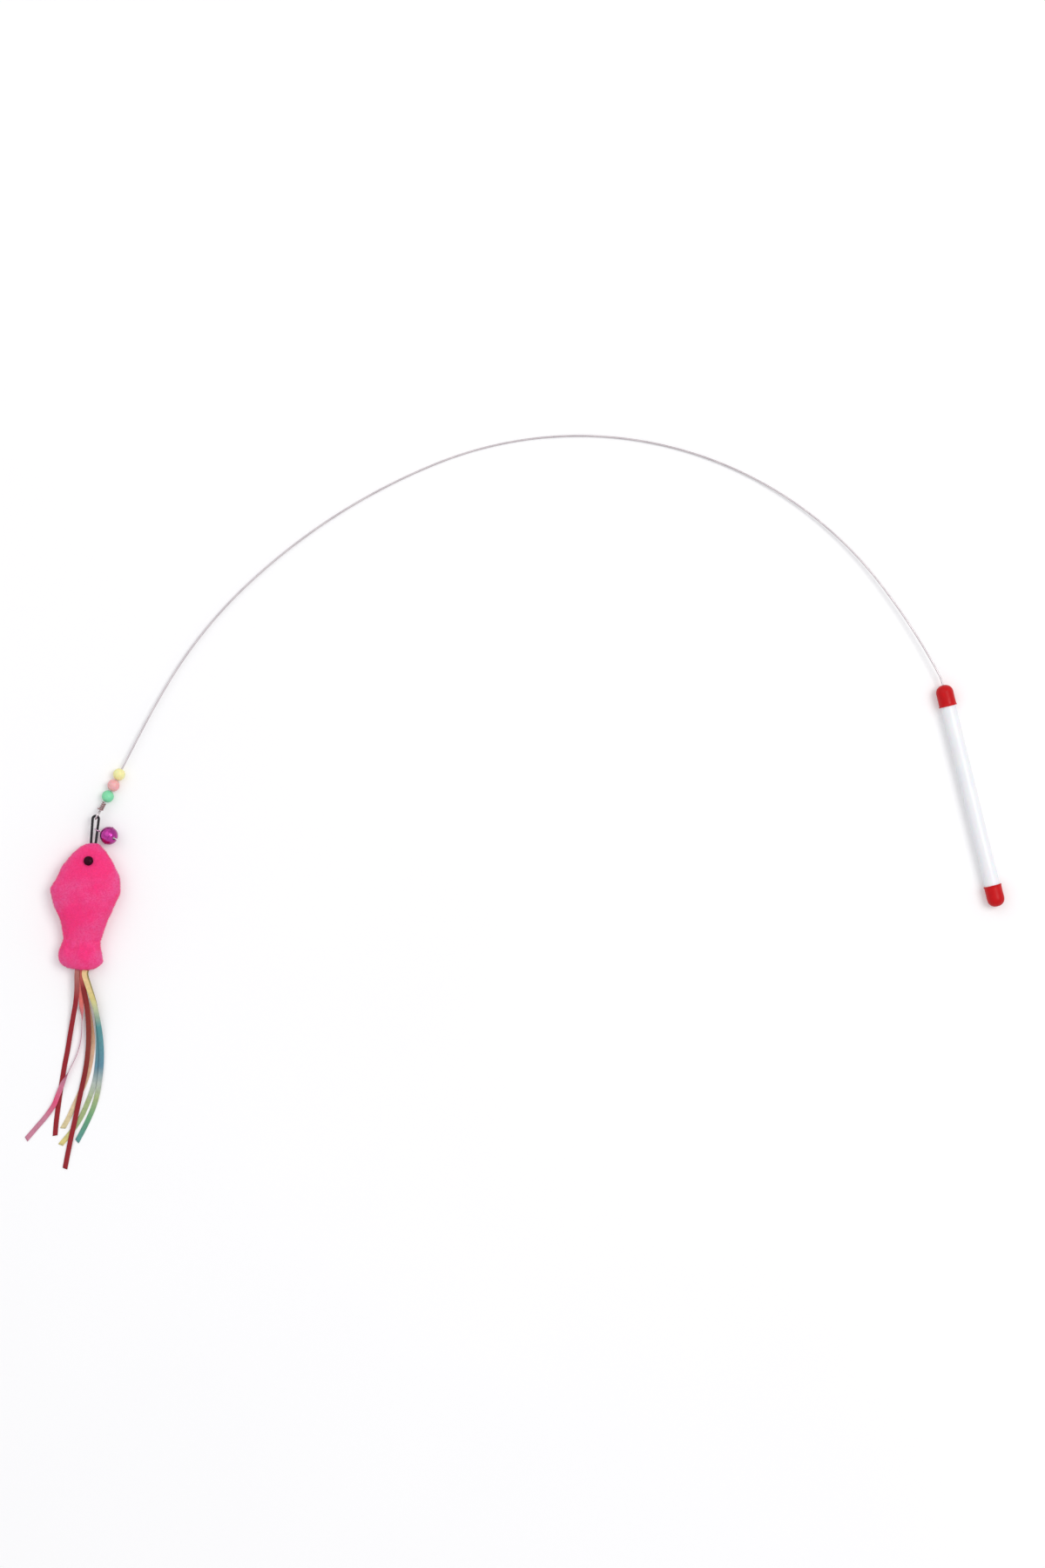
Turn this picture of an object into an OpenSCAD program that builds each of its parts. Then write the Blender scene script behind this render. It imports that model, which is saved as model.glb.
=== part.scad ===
// Cat teaser wand, lying on a flat surface.
// A white tube with two red caps is the handle. A bowed spring wire leaves its front cap, carries
// three beads near its tip and ends in an eye. An elastic loop hangs in the eye and carries a small
// bell and a stuffed fish with ribbons.
// The origin is on the handle's axis, at the middle of the rear cap's straight band. +Y runs along
// the handle towards the wire, +Z is up from the surface, and the wire bows over towards -X.

/* [Handle tube] */
// Outer diameter of the handle tube
tube_od = 10.5; // [8:0.1:14]
// Wall of the handle tube
tube_wall = 1.2; // [0.8:0.1:2]
// Length of the handle over both caps
handle_len = 157; // [100:1:240]

/* [Handle caps] */
// Length of a cap from its open end to the top of its dome
cap_len = 15; // [12:0.5:22]
// Wall of a cap where it grips the tube
cap_wall = 0.7; // [0.5:0.1:1.5]
// Height of the dome at a cap's closed end
dome_h = 5.5; // [3:0.5:8]
// Length of the flared lip at a cap's open end
lip_len = 1.5; // [0.8:0.1:2.5]
// How far the lip stands out from the cap's straight band
lip_flare = 0.3; // [0.1:0.1:0.8]

/* [Spring wire] */
// Diameter of the spring wire
wire_d = 1.2; // [0.8:0.1:2]
// Free play of the wire in the hole of the front cap
wire_play = 0.2; // [0.1:0.05:0.5]
// Length of the plug that grips the wire inside the tube
plug_len = 22; // [10:1:40]
// How far the plug sits back from the front end of the tube
plug_set = 2; // [0.5:0.5:8]
// Length of wire behind the plug
wire_tail = 6; // [2:1:15]
// Straight length of wire in front of the cap
wire_lead = 0.5; // [0.5:0.5:5]

/* [Bow of the wire] */
// Radius of the small set where the wire leaves the cap
set_r = 25; // [15:1:60]
// Angle of the small set
set_deg = 14; // [4:1:20]
// Radius of the first, stiff stretch of the bow
root_bow_r = 438; // [300:2:600]
// Angle of the first stretch
root_bow_deg = 10; // [5:0.5:16]
// Radius of the main bow
main_bow_r = 262; // [200:1:340]
// Angle of the main bow
main_bow_deg = 74; // [60:0.5:84]
// Radius of the flat stretch after the main bow
flat_bow_r = 418; // [320:2:560]
// Angle of the flat stretch
flat_bow_deg = 21.5; // [12:0.5:30]
// Radius of the second bow, nearer the tip
tip_bow_r = 316; // [240:2:420]
// Angle of the second bow
tip_bow_deg = 16; // [8:0.5:24]
// Radius of the last easy stretch
end_bow_r = 675; // [500:5:900]
// Angle of the last easy stretch
end_bow_deg = 3.5; // [1:0.5:6]
// Half the length of the slight downward bend between the cap and the bow
sag_run = 0.5; // [0.3:0.1:3]
// Straight length of wire between the bow and the beads
bead_lead = 25; // [10:1:50]

/* [Beads] */
// Diameter of a bead
bead_d = 8.4; // [7:0.1:10]
// Length of a bead along the wire
bead_len = 8.2; // [5:0.1:8.2]
// Radial play of a bead on the wire
bead_play = 0.1; // [0.05:0.01:0.3]
// Gap between neighbours on the wire
bead_gap = 0.3; // [0.2:0.1:1]

/* [Eye and its wrap] */
// Radius of the eye at the tip, to the middle of the wire
eye_bend_r = 2.8; // [2.6:0.1:4]
// Radius of the bend that lays the wire's end back along itself
lay_back_r = 1.2; // [1:0.1:2]
// Gap between the wire and its laid-back end
lay_back_gap = 0.15; // [0.1:0.05:0.4]
// Diameter of the wrapping wire
wrap_d = 0.9; // [0.6:0.1:1.1]
// Turns of the wrap round both strands
wrap_turns = 4; // [2:1:8]
// Gap from one turn of the wrap to the next
wrap_turn_gap = 0.45; // [0.42:0.01:0.8]
// Length of the cut end that stands out from the wrap
wrap_end = 2.2; // [1:0.1:4]

/* [Elastic loop] */
// Diameter of the elastic
elastic_d = 1.8; // [1.2:0.1:2]
// Radius of the loop where it turns round the eye's far strand, to the middle of the elastic
loop_bend_r = 2.1; // [1.9:0.1:2.4]
// Length of the loop from the eye to its knot in the fish's nose
loop_len = 17.5; // [16:0.5:26]
// How far the knotted end of the loop stands out over the elastic
knot_out = 0.2; // [0.1:0.05:0.4]
// Angle by which each leg of the loop leans in
leg_lean = 1.6; // [0:0.1:2]
// Heading of the toy on the surface, from the handle's direction
toy_turn = -19.5; // [-40:0.5:0]

/* [Bell] */
// Diameter of the bell's two cups
bell_d = 12.6; // [10:0.2:16]
// Wall of the cups
bell_wall = 0.4; // [0.3:0.05:0.8]
// How far the rolled seam stands out from the cups
seam_out = 0.3; // [0.1:0.05:0.6]
// Height of the rolled seam on each cup
seam_h = 0.5; // [0.3:0.1:1]
// Width of the sound slots
slot_w = 1.2; // [0.8:0.1:2]
// Diameter of the round hole at the end of each slot
slot_hole_d = 2.2; // [1.6:0.1:3]
// Angle from the bottom of the bell to those holes
slot_deg = 52; // [40:1:60]
// Diameter of the hanger's wire
hanger_d = 0.8; // [0.6:0.1:1]
// Radius of the hanger's ring, to the middle of its wire
hanger_r = 1.8; // [1.7:0.1:2.4]
// Diameter of the loose pellet
pellet_d = 3.2; // [2.4:0.1:4.5]
// Place of the hanger on the loop's right leg, from the eye
bell_at = 7.6; // [6.5:0.1:8]
// Angle at which the bell hangs off the leg
bell_lean = 20; // [10:1:25]

/* [Fish] */
// Length of the fish from its nose to its neck
body_len = 68; // [55:1:90]
// How far the knot of the loop sits behind the tip of the nose
nose_lead = 2.6; // [2.2:0.1:4]
// How far the fish can nod up or down on the knot
nod_deg = 30; // [10:1:35]
// Greatest width of the fish
fish_w = 47; // [38:1:60]
// Height of the upper side above the seam
back_h = 12; // [8:0.5:16]
// Depth of the lower side below the seam
belly_h = 7.5; // [7:0.1:9]
// Length of the tail behind the neck
tail_len = 21; // [14:1:30]
// Thickness of the plush
plush_t = 1.2; // [0.8:0.1:2]
// Diameter of an eye of the fish
fish_eye_d = 6.6; // [4:0.2:8]
// Height of the dome of an eye
fish_eye_h = 2.4; // [1.5:0.1:2.6]
// Place of the eyes behind the nose
fish_eye_at = 14; // [10:0.5:18]

/* [Ribbons] */
// Width of a ribbon
ribbon_w = 3.4; // [2.5:0.1:3.6]
// Thickness of a ribbon with its curl
ribbon_t = 0.7; // [0.4:0.1:0.8]
// Length of the stitched bundle where the ribbons are sewn in
tack_len = 5; // [3:0.5:8]

/* [Hidden] */

// Fits and overruns
fit_gap = 0.05;
seat_gap = 0.3;
overrun = 1;

// Sides of round faces
round_sides = 48;
bow_sides = 360;
wire_sides = 16;
joint_gap = 0.1;
joint_out = 0.02;
cord_sides = 8;
wrap_sides = 6;
wrap_rings = 24;

// Handle, along its own axis
tube_r = tube_od / 2;
band_r = tube_r + fit_gap + cap_wall;
lip_r = band_r + lip_flare;
seat_depth = cap_len - dome_h;
band_len = seat_depth - lip_len;
tube_len = handle_len - 2 * dome_h;
rear_seat = -band_len / 2;
front_seat = rear_seat + tube_len;
front_apex = front_seat + dome_h;
lip_flat_share = 0.5;
dome_steps = 10;
// The handle lies on the lips of its caps
surface_z = -lip_r;

// Bow: radius and angle of each stretch, in order from the cap
bow = [
    [set_r, set_deg], [root_bow_r, root_bow_deg], [main_bow_r, main_bow_deg],
    [flat_bow_r, flat_bow_deg], [tip_bow_r, tip_bow_deg], [end_bow_r, end_bow_deg]
];
function bow_heading(i) = i == 0 ? 90 : bow_heading(i - 1) + bow[i - 1][1];
function arc_centre(p, heading, r) = p + r * [-sin(heading), cos(heading)];
function arc_point(centre, heading, r) = centre + r * [sin(heading), -cos(heading)];
function bow_point(i) = i == 0
    ? [0, front_apex + wire_lead]
    : arc_point(arc_centre(bow_point(i - 1), bow_heading(i - 1), bow[i - 1][0]),
                bow_heading(i), bow[i - 1][0]);
tip_heading = bow_heading(len(bow));
tip_start = bow_point(len(bow));
function tip_point(u) = tip_start + u * [cos(tip_heading), sin(tip_heading)];

// Places along the straight tip of the wire
bead_pitch = bead_len + bead_gap;
function bead_at(i) = bead_lead + bead_len / 2 + i * bead_pitch;
wrap_pitch = wrap_d + wrap_turn_gap;
wrap_start = bead_at(2) + bead_len / 2 + bead_gap + wrap_d / 2;
wrap_stop = wrap_start + wrap_turns * wrap_pitch;
strand_rise = wire_d + lay_back_gap;
wrap_ease_share = 1.14;
wrap_r = wrap_ease_share * (wire_d + wrap_d) / 2;

// Eye: the wire turns up and over, then an opposite bend lays its end back over the shank
eye_turn = acos(1 - (2 * eye_bend_r - strand_rise) / (eye_bend_r + lay_back_r));
lay_back_end = wrap_start - wrap_d / 2;
eye_start = wrap_stop + wrap_d / 2 + fit_gap + (eye_bend_r + lay_back_r) * sin(eye_turn);
eye_far = eye_start + eye_bend_r;

// The wire bends down past the cap and leans to one side, just so much that the top of its arch
// and its first bead lie on the surface
arch_top = arc_point(arc_centre(bow_point(2), bow_heading(2), bow[2][0]), 180, bow[2][0]);
first_bead = tip_point(bead_at(0));
function past_cap(p) = p.y - bow_point(0).y + sag_run;
bead_drop = lip_r - bead_d / 2;
arch_drop = lip_r - wire_d / 2 - fit_gap;
slope_base = arch_top.x * past_cap(first_bead) - first_bead.x * past_cap(arch_top);
wire_dip = asin((bead_drop * past_cap(arch_top) - arch_drop * past_cap(first_bead)) / slope_base);
wire_sag = asin((arch_top.x * bead_drop - first_bead.x * arch_drop) / slope_base / cos(wire_dip));
sag_r = sag_run / tan(wire_sag / 2);
// A place on the bow's plane, and its height over that plane, in the whole object's frame
function on_bow(p, rise) = let (
    along = past_cap(p),
    y = bow_point(0).y + sag_run + along * cos(wire_sag) + rise * sin(wire_sag),
    z = rise * cos(wire_sag) - along * sin(wire_sag)
) [p.x * cos(wire_dip) - z * sin(wire_dip), y, p.x * sin(wire_dip) + z * cos(wire_dip)];
toy_origin = on_bow(tip_point(eye_far), eye_bend_r);

// Elastic loop, in the toy's own frame: its origin is the eye's far strand, -Y leads to the fish
elastic_r = elastic_d / 2;
knot_r = elastic_r + knot_out;
seam_z = surface_z + belly_h;
loop_rise = asin((seam_z - toy_origin.z) / loop_len);
leg_len = (loop_len - loop_bend_r * sin(leg_lean)) / cos(leg_lean);
leg_top_x = loop_bend_r * cos(leg_lean);
leg_end_x = leg_top_x - leg_len * sin(leg_lean);
knot_w = 2 * (leg_end_x + knot_r);
function leg_x(along) = leg_top_x - (along - loop_bend_r * sin(leg_lean)) * tan(leg_lean);
knot_y = -loop_len * cos(loop_rise);
knot_z = loop_len * sin(loop_rise);

// Bell, in the toy's own frame
bell_r = bell_d / 2;
bell_rim_r = bell_r + seam_out;
bell_inner_r = bell_r - bell_wall;
pellet_r = pellet_d / 2;
stem_gap = hanger_d / 4;
head_h = hanger_d / 2;
head_r = hanger_d * 1.5;
hanger_at = [leg_x(bell_at), -bell_at * cos(loop_rise), bell_at * sin(loop_rise)];
hang_len = bell_r + stem_gap + hanger_d / 2 + hanger_r;
bell_drop = surface_z + bell_rim_r - (toy_origin.z + hanger_at.z);
hang_flat = sqrt(hang_len * hang_len - bell_drop * bell_drop);
bell_centre = hanger_at + [hang_flat * cos(bell_lean), -hang_flat * sin(bell_lean), bell_drop];
bell_tilt = acos(-bell_drop / hang_len);
pellet_rest = bell_inner_r - pellet_r - seat_gap;

// Fish sections from the nose to the neck: place along the body, then the width to the left and to
// the right as shares of the fish's width, and the shares of its back height and belly depth
body_shares = [
    [0, 0.03, 0.03, 0.09, 0.1], [0.018, 0.09, 0.09, 0.26, 0.26], [0.053, 0.165, 0.16, 0.44, 0.4],
    [0.103, 0.245, 0.225, 0.6, 0.48], [0.176, 0.325, 0.31, 0.75, 0.54],
    [0.265, 0.41, 0.385, 0.87, 0.68], [0.368, 0.468, 0.452, 0.96, 0.9],
    [0.47, 0.515, 0.463, 1, 1], [0.56, 0.536, 0.45, 1, 1], [0.647, 0.512, 0.402, 0.96, 1],
    [0.735, 0.47, 0.362, 0.89, 1], [0.824, 0.396, 0.321, 0.79, 0.97],
    [0.912, 0.338, 0.285, 0.69, 0.92], [1, 0.306, 0.264, 0.62, 0.9]
];
// The same for the tail, from the neck to its flat end
tail_shares = [
    [0, 0.306, 0.264, 0.62, 0.9], [0.2, 0.325, 0.267, 0.68, 0.94], [0.4, 0.343, 0.29, 0.74, 0.99],
    [0.58, 0.348, 0.306, 0.75, 1], [0.75, 0.335, 0.3, 0.7, 0.94],
    [0.88, 0.3, 0.262, 0.62, 0.82], [0.96, 0.24, 0.2, 0.54, 0.7], [1, 0.18, 0.15, 0.46, 0.62]
];
body_steps = 2;
panel_steps = 12;
roundness_share = 0.55;
pocket_r = knot_r + seat_gap;
pocket_w = knot_w + 2 * seat_gap;
mouth_w = 2 * (leg_end_x + elastic_r + seat_gap);
mouth_h = elastic_d + 2 * seat_gap;
mouth_cuts = 5;
fish_eye_side = -1;
fish_eye_edge = 0.4;

// Stitched bundle that holds the ribbons, centred on their roots
tack_w = 3 * ribbon_w;
tack_h = 5;
tack_x = 0.7;
tack_z = 7.4;

// Routes of the ribbons, from the flat end of the tail: to the right, back along the toy, and the
// height over the surface
red_left_route = [
    [-2.4, 0, 8.2], [-2.4, -4, 8.2], [-1.6, -14, 7.4], [-1.7, -24, 5.7], [-2.7, -35, 3.7],
    [-3.7, -46, 2], [-4.5, -57, 0.9], [-5.5, -67, 0.5], [-6.2, -77, 0.5], [-6.8, -87, 0.5],
    [-7.2, -97, 0.5], [-7.5, -107, 0.5], [-7.4, -116.5, 0.5]
];
pink_route = [
    [-0.2, 0, 7.2], [-0.2, -4, 7.2], [1.2, -14, 6.6], [2.4, -25, 4.8], [3.7, -37, 2.7],
    [4, -49, 1.2], [2.2, -59.5, 1], [-1.4, -69.5, 1.6], [-5.2, -79, 1.7], [-7.8, -87.5, 1.7],
    [-10.2, -95.5, 1.6], [-15, -104, 0.8], [-21, -112.5, 0.5], [-27, -121, 0.5]
];
red_right_route = [
    [1.6, 0, 8.2], [1.6, -4, 8.2], [3.4, -14, 7.7], [6.4, -25.5, 6.1], [8.4, -38, 4.2],
    [9.5, -50, 2.9], [9.6, -61.5, 2.2], [8.9, -72.5, 1.7], [7.7, -83, 1.7], [6.4, -94.5, 1.7],
    [5.2, -105.5, 1.7], [3.9, -116, 1.6], [2.7, -127, 0.9], [1.6, -138.5, 0.5]
];
cream_route = [
    [1, 0, 5.8], [1, -4, 5.8], [3.2, -14, 5.2], [6.6, -25.5, 3.8], [9.9, -37.5, 2.1],
    [12, -49, 0.9], [12.2, -60, 0.5], [11.2, -70, 0.5], [9, -79.5, 0.5], [6, -88, 0.5],
    [3.2, -96, 0.5], [0.6, -103.5, 0.5], [-2.6, -111, 0.5]
];
rainbow_right_route = [
    [3, 0, 9.3], [3, -4, 9.3], [6.8, -13, 8.5], [11.2, -23, 6.9], [14.8, -34.5, 4.8],
    [17.4, -45.5, 3.1], [19.1, -56.5, 2], [19.7, -67, 1.6], [19.5, -77, 1.3], [18.7, -86, 0.8],
    [16.9, -95, 0.5], [14.2, -103.5, 0.5], [11.2, -111.5, 0.5], [8, -119, 0.5]
];
rainbow_left_route = [
    [3.8, 0, 7.2], [3.8, -4, 7.2], [7.4, -13, 6.1], [11.2, -23, 4.6], [14.2, -34.5, 3],
    [16, -46, 1.6], [16.7, -57, 0.8], [16.8, -66.5, 0.5], [16.2, -76, 0.5], [14.5, -85, 0.5],
    [12, -94, 0.5], [9, -102.5, 0.5], [4, -112, 0.5], [-3, -122.5, 0.5]
];

// Small vector helpers
function unit(v) = v / norm(v);
function square_to(v, axis) = unit(v - (v * axis) * axis);
function tangent(path, i) =
    unit(path[min(i + 1, len(path) - 1)] - path[max(i - 1, 0)]);

// Triangles of a tube of rings, closed by fans at both ends
function tube_faces(rings, sides) = concat(
    [for (i = [0:rings - 2], j = [0:sides - 1])
        let (a = i * sides + j, b = i * sides + (j + 1) % sides) each
            [[a, a + sides, b], [b, a + sides, b + sides]]],
    [for (j = [1:sides - 2]) [0, j, j + 1]],
    [for (j = [1:sides - 2]) let (k = (rings - 1) * sides) [k, k + j + 1, k + j]]
);

// Tube swept along a path, flat or round, with one reference direction for each point
module swept_tube(path, ups, half_w, half_h, sides) {
    points = [for (i = [0:len(path) - 1])
        let (t = tangent(path, i), up = square_to(ups[i], t), side = cross(t, up))
        for (j = [0:sides - 1])
            let (a = 360 * j / sides) path[i] + half_w * cos(a) * side + half_h * sin(a) * up];
    polyhedron(points = points, faces = tube_faces(len(path), sides), convexity = 10);
}

// Smooth curve through the rows of a table
function spline(a, b, c, d, t) =
    (2 * b + (c - a) * t + (2 * a - 5 * b + 4 * c - d) * t * t
     + (3 * b - a - 3 * c + d) * t * t * t) / 2;
function smooth(rows, steps) = let (n = len(rows) - 1) concat(
    [for (i = [0:n - 1], k = [0:steps - 1])
        spline(rows[max(i - 1, 0)], rows[i], rows[i + 1], rows[min(i + 2, n)], k / steps)],
    [rows[n]]
);

// One point of a fish section: side runs from 1 at the left seam to -1 at the right seam
function section_x(row, side, inset) =
    side > 0 ? -side * (row[1] * fish_w - inset) : -side * (row[2] * fish_w - inset);
function section_z(row, side, inset, up) =
    (up > 0 ? row[3] * back_h - inset : inset - row[4] * belly_h)
    * pow(max(1 - side * side, 0), roundness_share);
function section_point(row, y, side, inset, up) =
    [section_x(row, side, inset), y, section_z(row, side, inset, up)];

// Sections of the body, nose first; the inner ones start behind the plush of the nose
body_rows = smooth(body_shares, body_steps);
tail_rows = smooth(tail_shares, body_steps);
function body_y(row, inset) = -inset - row[0] * (body_len - inset);
// Narrow sections keep a core, so that the inner form never turns inside out
function kept(row, inset) = min(inset, 0.6 * fish_w * row[2], 0.6 * back_h * row[3],
                                0.6 * belly_h * row[4]);

// Height of the outer form over the seam, at a place behind the nose
function row_near(at) = [for (r = body_rows) if (r[0] * body_len >= at) r][0];
function side_near(row, x) = x > 0 ? -x / (row[2] * fish_w) : -x / (row[1] * fish_w);
function fish_z(x, at, up) = let (r = row_near(at)) section_z(r, side_near(r, x), 0, up);

// Closed half shell: outer form, inner form, seam rim, and an open neck
module plush_panel(up) {
    n = len(body_rows);
    m = panel_steps + 1;
    sides = [for (j = [0:panel_steps]) cos(180 * j / panel_steps)];
    outer = [for (row = body_rows, side = sides)
        section_point(row, body_y(row, 0), side, 0, up)];
    inner = [for (row = body_rows, side = sides)
        section_point(row, body_y(row, plush_t), side, kept(row, plush_t), up)];
    k = n * m;
    quads = concat(
        [for (i = [0:n - 2], j = [0:m - 2])
            [i * m + j, i * m + j + 1, (i + 1) * m + j + 1, (i + 1) * m + j]],
        [for (i = [0:n - 2], j = [0:m - 2])
            [k + i * m + j, k + (i + 1) * m + j, k + (i + 1) * m + j + 1, k + i * m + j + 1]],
        [for (i = [0:n - 2])
            [i * m, (i + 1) * m, k + (i + 1) * m, k + i * m]],
        [for (i = [0:n - 2])
            [i * m + m - 1, k + i * m + m - 1, k + (i + 1) * m + m - 1, (i + 1) * m + m - 1]],
        [for (j = [0:m - 2])
            [(n - 1) * m + j, (n - 1) * m + j + 1, k + (n - 1) * m + j + 1, k + (n - 1) * m + j]],
        [[0, k, k + m - 1, m - 1]]
    );
    triangles = concat(
        [for (q = quads) each [[q[0], q[1], q[2]], [q[0], q[2], q[3]]]],
        [for (j = [1:m - 2]) [0, j + 1, j]],
        [for (j = [1:m - 2]) [k, k + j, k + j + 1]]
    );
    turned = [for (f = triangles) [f[2], f[1], f[0]]];
    polyhedron(points = concat(outer, inner), faces = up > 0 ? turned : triangles, convexity = 10);
}

// Closed stuffed form through a list of sections
module stuffed_form(rows, y_first, y_len, inset) {
    ring = 2 * panel_steps;
    points = [for (row = rows)
        let (y = y_first - row[0] * y_len, d = kept(row, inset)) each concat(
            [for (j = [0:panel_steps]) section_point(row, y, cos(180 * j / panel_steps), d, 1)],
            [for (j = [1:panel_steps - 1])
                section_point(row, y, -cos(180 * j / panel_steps), d, -1)])];
    polyhedron(points = points, faces = tube_faces(len(rows), ring), convexity = 10);
}

// Frames
module on_bow_plane() {
    rotate([0, -wire_dip, 0])
        translate([0, bow_point(0).y + sag_run, 0])
            rotate([-wire_sag, 0, 0])
                translate([0, sag_run - bow_point(0).y, 0])
                    children();
}

module at_tip(u) {
    on_bow_plane()
        translate([tip_point(u).x, tip_point(u).y, 0])
            rotate([0, 0, tip_heading])
                children();
}

module at_toy() {
    translate(toy_origin)
        rotate([0, 0, toy_turn])
            children();
}

module at_body() {
    at_toy()
        translate([0, knot_y + nose_lead, knot_z])
            children();
}

module at_bell() {
    at_toy()
        translate(bell_centre)
            rotate([0, 0, 180 - bell_lean])
                rotate([0, bell_tilt, 0])
                    children();
}

module at_tail_end() {
    at_body()
        translate([0, -body_len - tail_len, -belly_h])
            children();
}

// Handle
module handle_tube() {
    color("white")
        translate([0, rear_seat, 0])
            rotate([-90, 0, 0])
                difference() {
                    cylinder(r = tube_r, h = tube_len, $fn = round_sides);
                    translate([0, 0, -overrun])
                        cylinder(r = tube_r - tube_wall, h = tube_len + 2 * overrun,
                                 $fn = round_sides);
                }
}

// Cap along +Z, open end at the bottom
module cap() {
    dome_angles = [for (i = [0:dome_steps]) 90 * i / dome_steps];
    outer = concat(
        [[0, 0], [lip_r, 0], [lip_r, lip_len * lip_flat_share], [band_r, lip_len]],
        [for (a = dome_angles) [band_r * cos(a), seat_depth + dome_h * sin(a)]]
    );
    hollow_r = tube_r - tube_wall;
    hollow_h = dome_h - cap_wall;
    hollow = concat(
        [[0, seat_depth - overrun], [hollow_r, seat_depth - overrun]],
        [for (a = dome_angles) [hollow_r * cos(a), seat_depth + hollow_h * sin(a)]]
    );
    color("red")
        difference() {
            rotate_extrude($fn = round_sides)
                polygon(outer);
            translate([0, 0, -overrun])
                cylinder(r = tube_r + fit_gap, h = seat_depth + overrun, $fn = round_sides);
            rotate_extrude($fn = round_sides)
                polygon(hollow);
            children();
        }
}

module rear_cap() {
    translate([0, rear_seat, 0])
        rotate([90, 0, 0])
            translate([0, 0, -seat_depth])
                cap();
}

module front_cap() {
    translate([0, front_seat, 0])
        rotate([-90, 0, 0])
            translate([0, 0, -seat_depth])
                cap()
                    translate([0, 0, seat_depth])
                        cylinder(r = wire_d / 2 + wire_play, h = dome_h + overrun,
                                 $fn = round_sides);
}

module wire_plug() {
    color("ivory")
        translate([0, front_seat - plug_set - plug_len, 0])
            rotate([-90, 0, 0])
                difference() {
                    cylinder(r = tube_r - tube_wall - fit_gap, h = plug_len, $fn = round_sides);
                    translate([0, 0, -overrun])
                        cylinder(r = wire_d / 2 + fit_gap, h = plug_len + 2 * overrun,
                                 $fn = round_sides);
                }
}

// Hair-thin collar over the place where one stretch of wire ends and the next begins: every
// stretch stops just short of it, so that the wire is one solid without faces that nearly meet
module wire_joint() {
    rotate([0, 90, 0])
        cylinder(r = wire_d / 2 + joint_out, h = 3 * joint_gap, center = true, $fn = wire_sides);
}

// Straight wire along +X, with what follows at its end
module wire_run(run_len) {
    translate([joint_gap / 2, 0, 0])
        rotate([0, 90, 0])
            cylinder(d = wire_d, h = run_len - joint_gap, $fn = wire_sides);
    translate([run_len, 0, 0])
        children();
}

// Wire that bends left from +X, with what follows at its end
module wire_bend(r, deg, sides) {
    short_deg = asin(joint_gap / 2 / r);
    wire_joint();
    translate([0, r, 0]) {
        rotate([0, 0, short_deg - 90])
            rotate_extrude(angle = deg - 2 * short_deg, $fn = sides)
                translate([r, 0])
                    circle(d = wire_d, $fn = wire_sides);
        rotate([0, 0, deg])
            translate([0, -r, 0])
                children();
    }
}

// The stretches of the bow from number i on, then the tip
module bow_from(i) {
    if (i < len(bow))
        wire_bend(bow[i][0], bow[i][1], bow_sides)
            bow_from(i + 1);
    else {
        wire_joint();
        wire_run(eye_start)
            rotate([90, 0, 0])
                wire_bend(eye_bend_r, 180 + eye_turn, round_sides)
                    mirror([0, 1, 0])
                        wire_bend(lay_back_r, eye_turn, round_sides) {
                            wire_joint();
                            wire_run(wrap_stop + wrap_d / 2 + fit_gap - lay_back_end);
                        }
    }
}

module spring_wire() {
    root_y = front_seat - plug_set - plug_len - wire_tail;
    color("rosybrown")
        rotate([0, -wire_dip, 0])
            translate([0, root_y, 0])
                rotate([0, 0, 90])
                    wire_run(bow_point(0).y - root_y)
                        rotate([-90, 0, 0])
                            wire_bend(sag_r, wire_sag, bow_sides)
                                rotate([90, 0, 0])
                                    bow_from(0);
}

// Close oval turns round the wire and its laid-back end, then the cut end, straight off the last
// turn
wrap_count = wrap_turns * wrap_rings;
function wrap_place(i) = let (a = 360 * i / wrap_rings)
    [wrap_start + wrap_pitch * i / wrap_rings, -wrap_r * sin(a),
     wrap_r * cos(a) + strand_rise * (1 + cos(a)) / 2];
wrap_path = concat(
    [for (i = [0:wrap_count]) wrap_place(i)],
    [for (share = [0.5, 1]) wrap_place(wrap_count) + [0, -wrap_end * share, 0]]
);
wrap_ups = concat(
    [for (i = [0:wrap_count]) let (a = 360 * i / wrap_rings) [0, -sin(a), cos(a)]],
    [[0, 0, 1], [0, 0, 1]]
);

module tip_wrap() {
    color("saddlebrown")
        at_tip(0)
            swept_tube(wrap_path, wrap_ups, wrap_d / 2, wrap_d / 2, wrap_sides);
}

// Beads
module bead(i, tint) {
    color(tint)
        at_tip(bead_at(i))
            rotate([0, 90, 0])
                difference() {
                    intersection() {
                        sphere(d = bead_d, $fn = round_sides);
                        cylinder(d = bead_d, h = bead_len, center = true, $fn = round_sides);
                    }
                    cylinder(r = wire_d / 2 + bead_play, h = bead_d, center = true,
                             $fn = round_sides);
                }
}

module bead_yellow() {
    bead(0, "khaki");
}

module bead_pink() {
    bead(1, "lightpink");
}

module bead_green() {
    bead(2, "mediumaquamarine");
}

// Elastic loop: a turn in the eye, two legs, and the end that is sewn into the nose
module elastic_loop() {
    color("black")
        at_toy()
            rotate([-loop_rise, 0, 0]) {
                rotate([0, 0, -leg_lean])
                    rotate_extrude(angle = 180 + 2 * leg_lean, $fn = 2 * round_sides)
                        translate([loop_bend_r, 0])
                            circle(d = elastic_d, $fn = round_sides);
                for (side = [-1, 1])
                    rotate([0, 0, -side * leg_lean])
                        translate([side * loop_bend_r, 0, 0])
                            rotate([90, 0, 0])
                                cylinder(d = elastic_d, h = leg_len, $fn = round_sides);
                translate([0, -loop_len, 0])
                    rotate([0, 90, 0])
                        cylinder(r = knot_r, h = knot_w, center = true, $fn = round_sides);
            }
}

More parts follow.
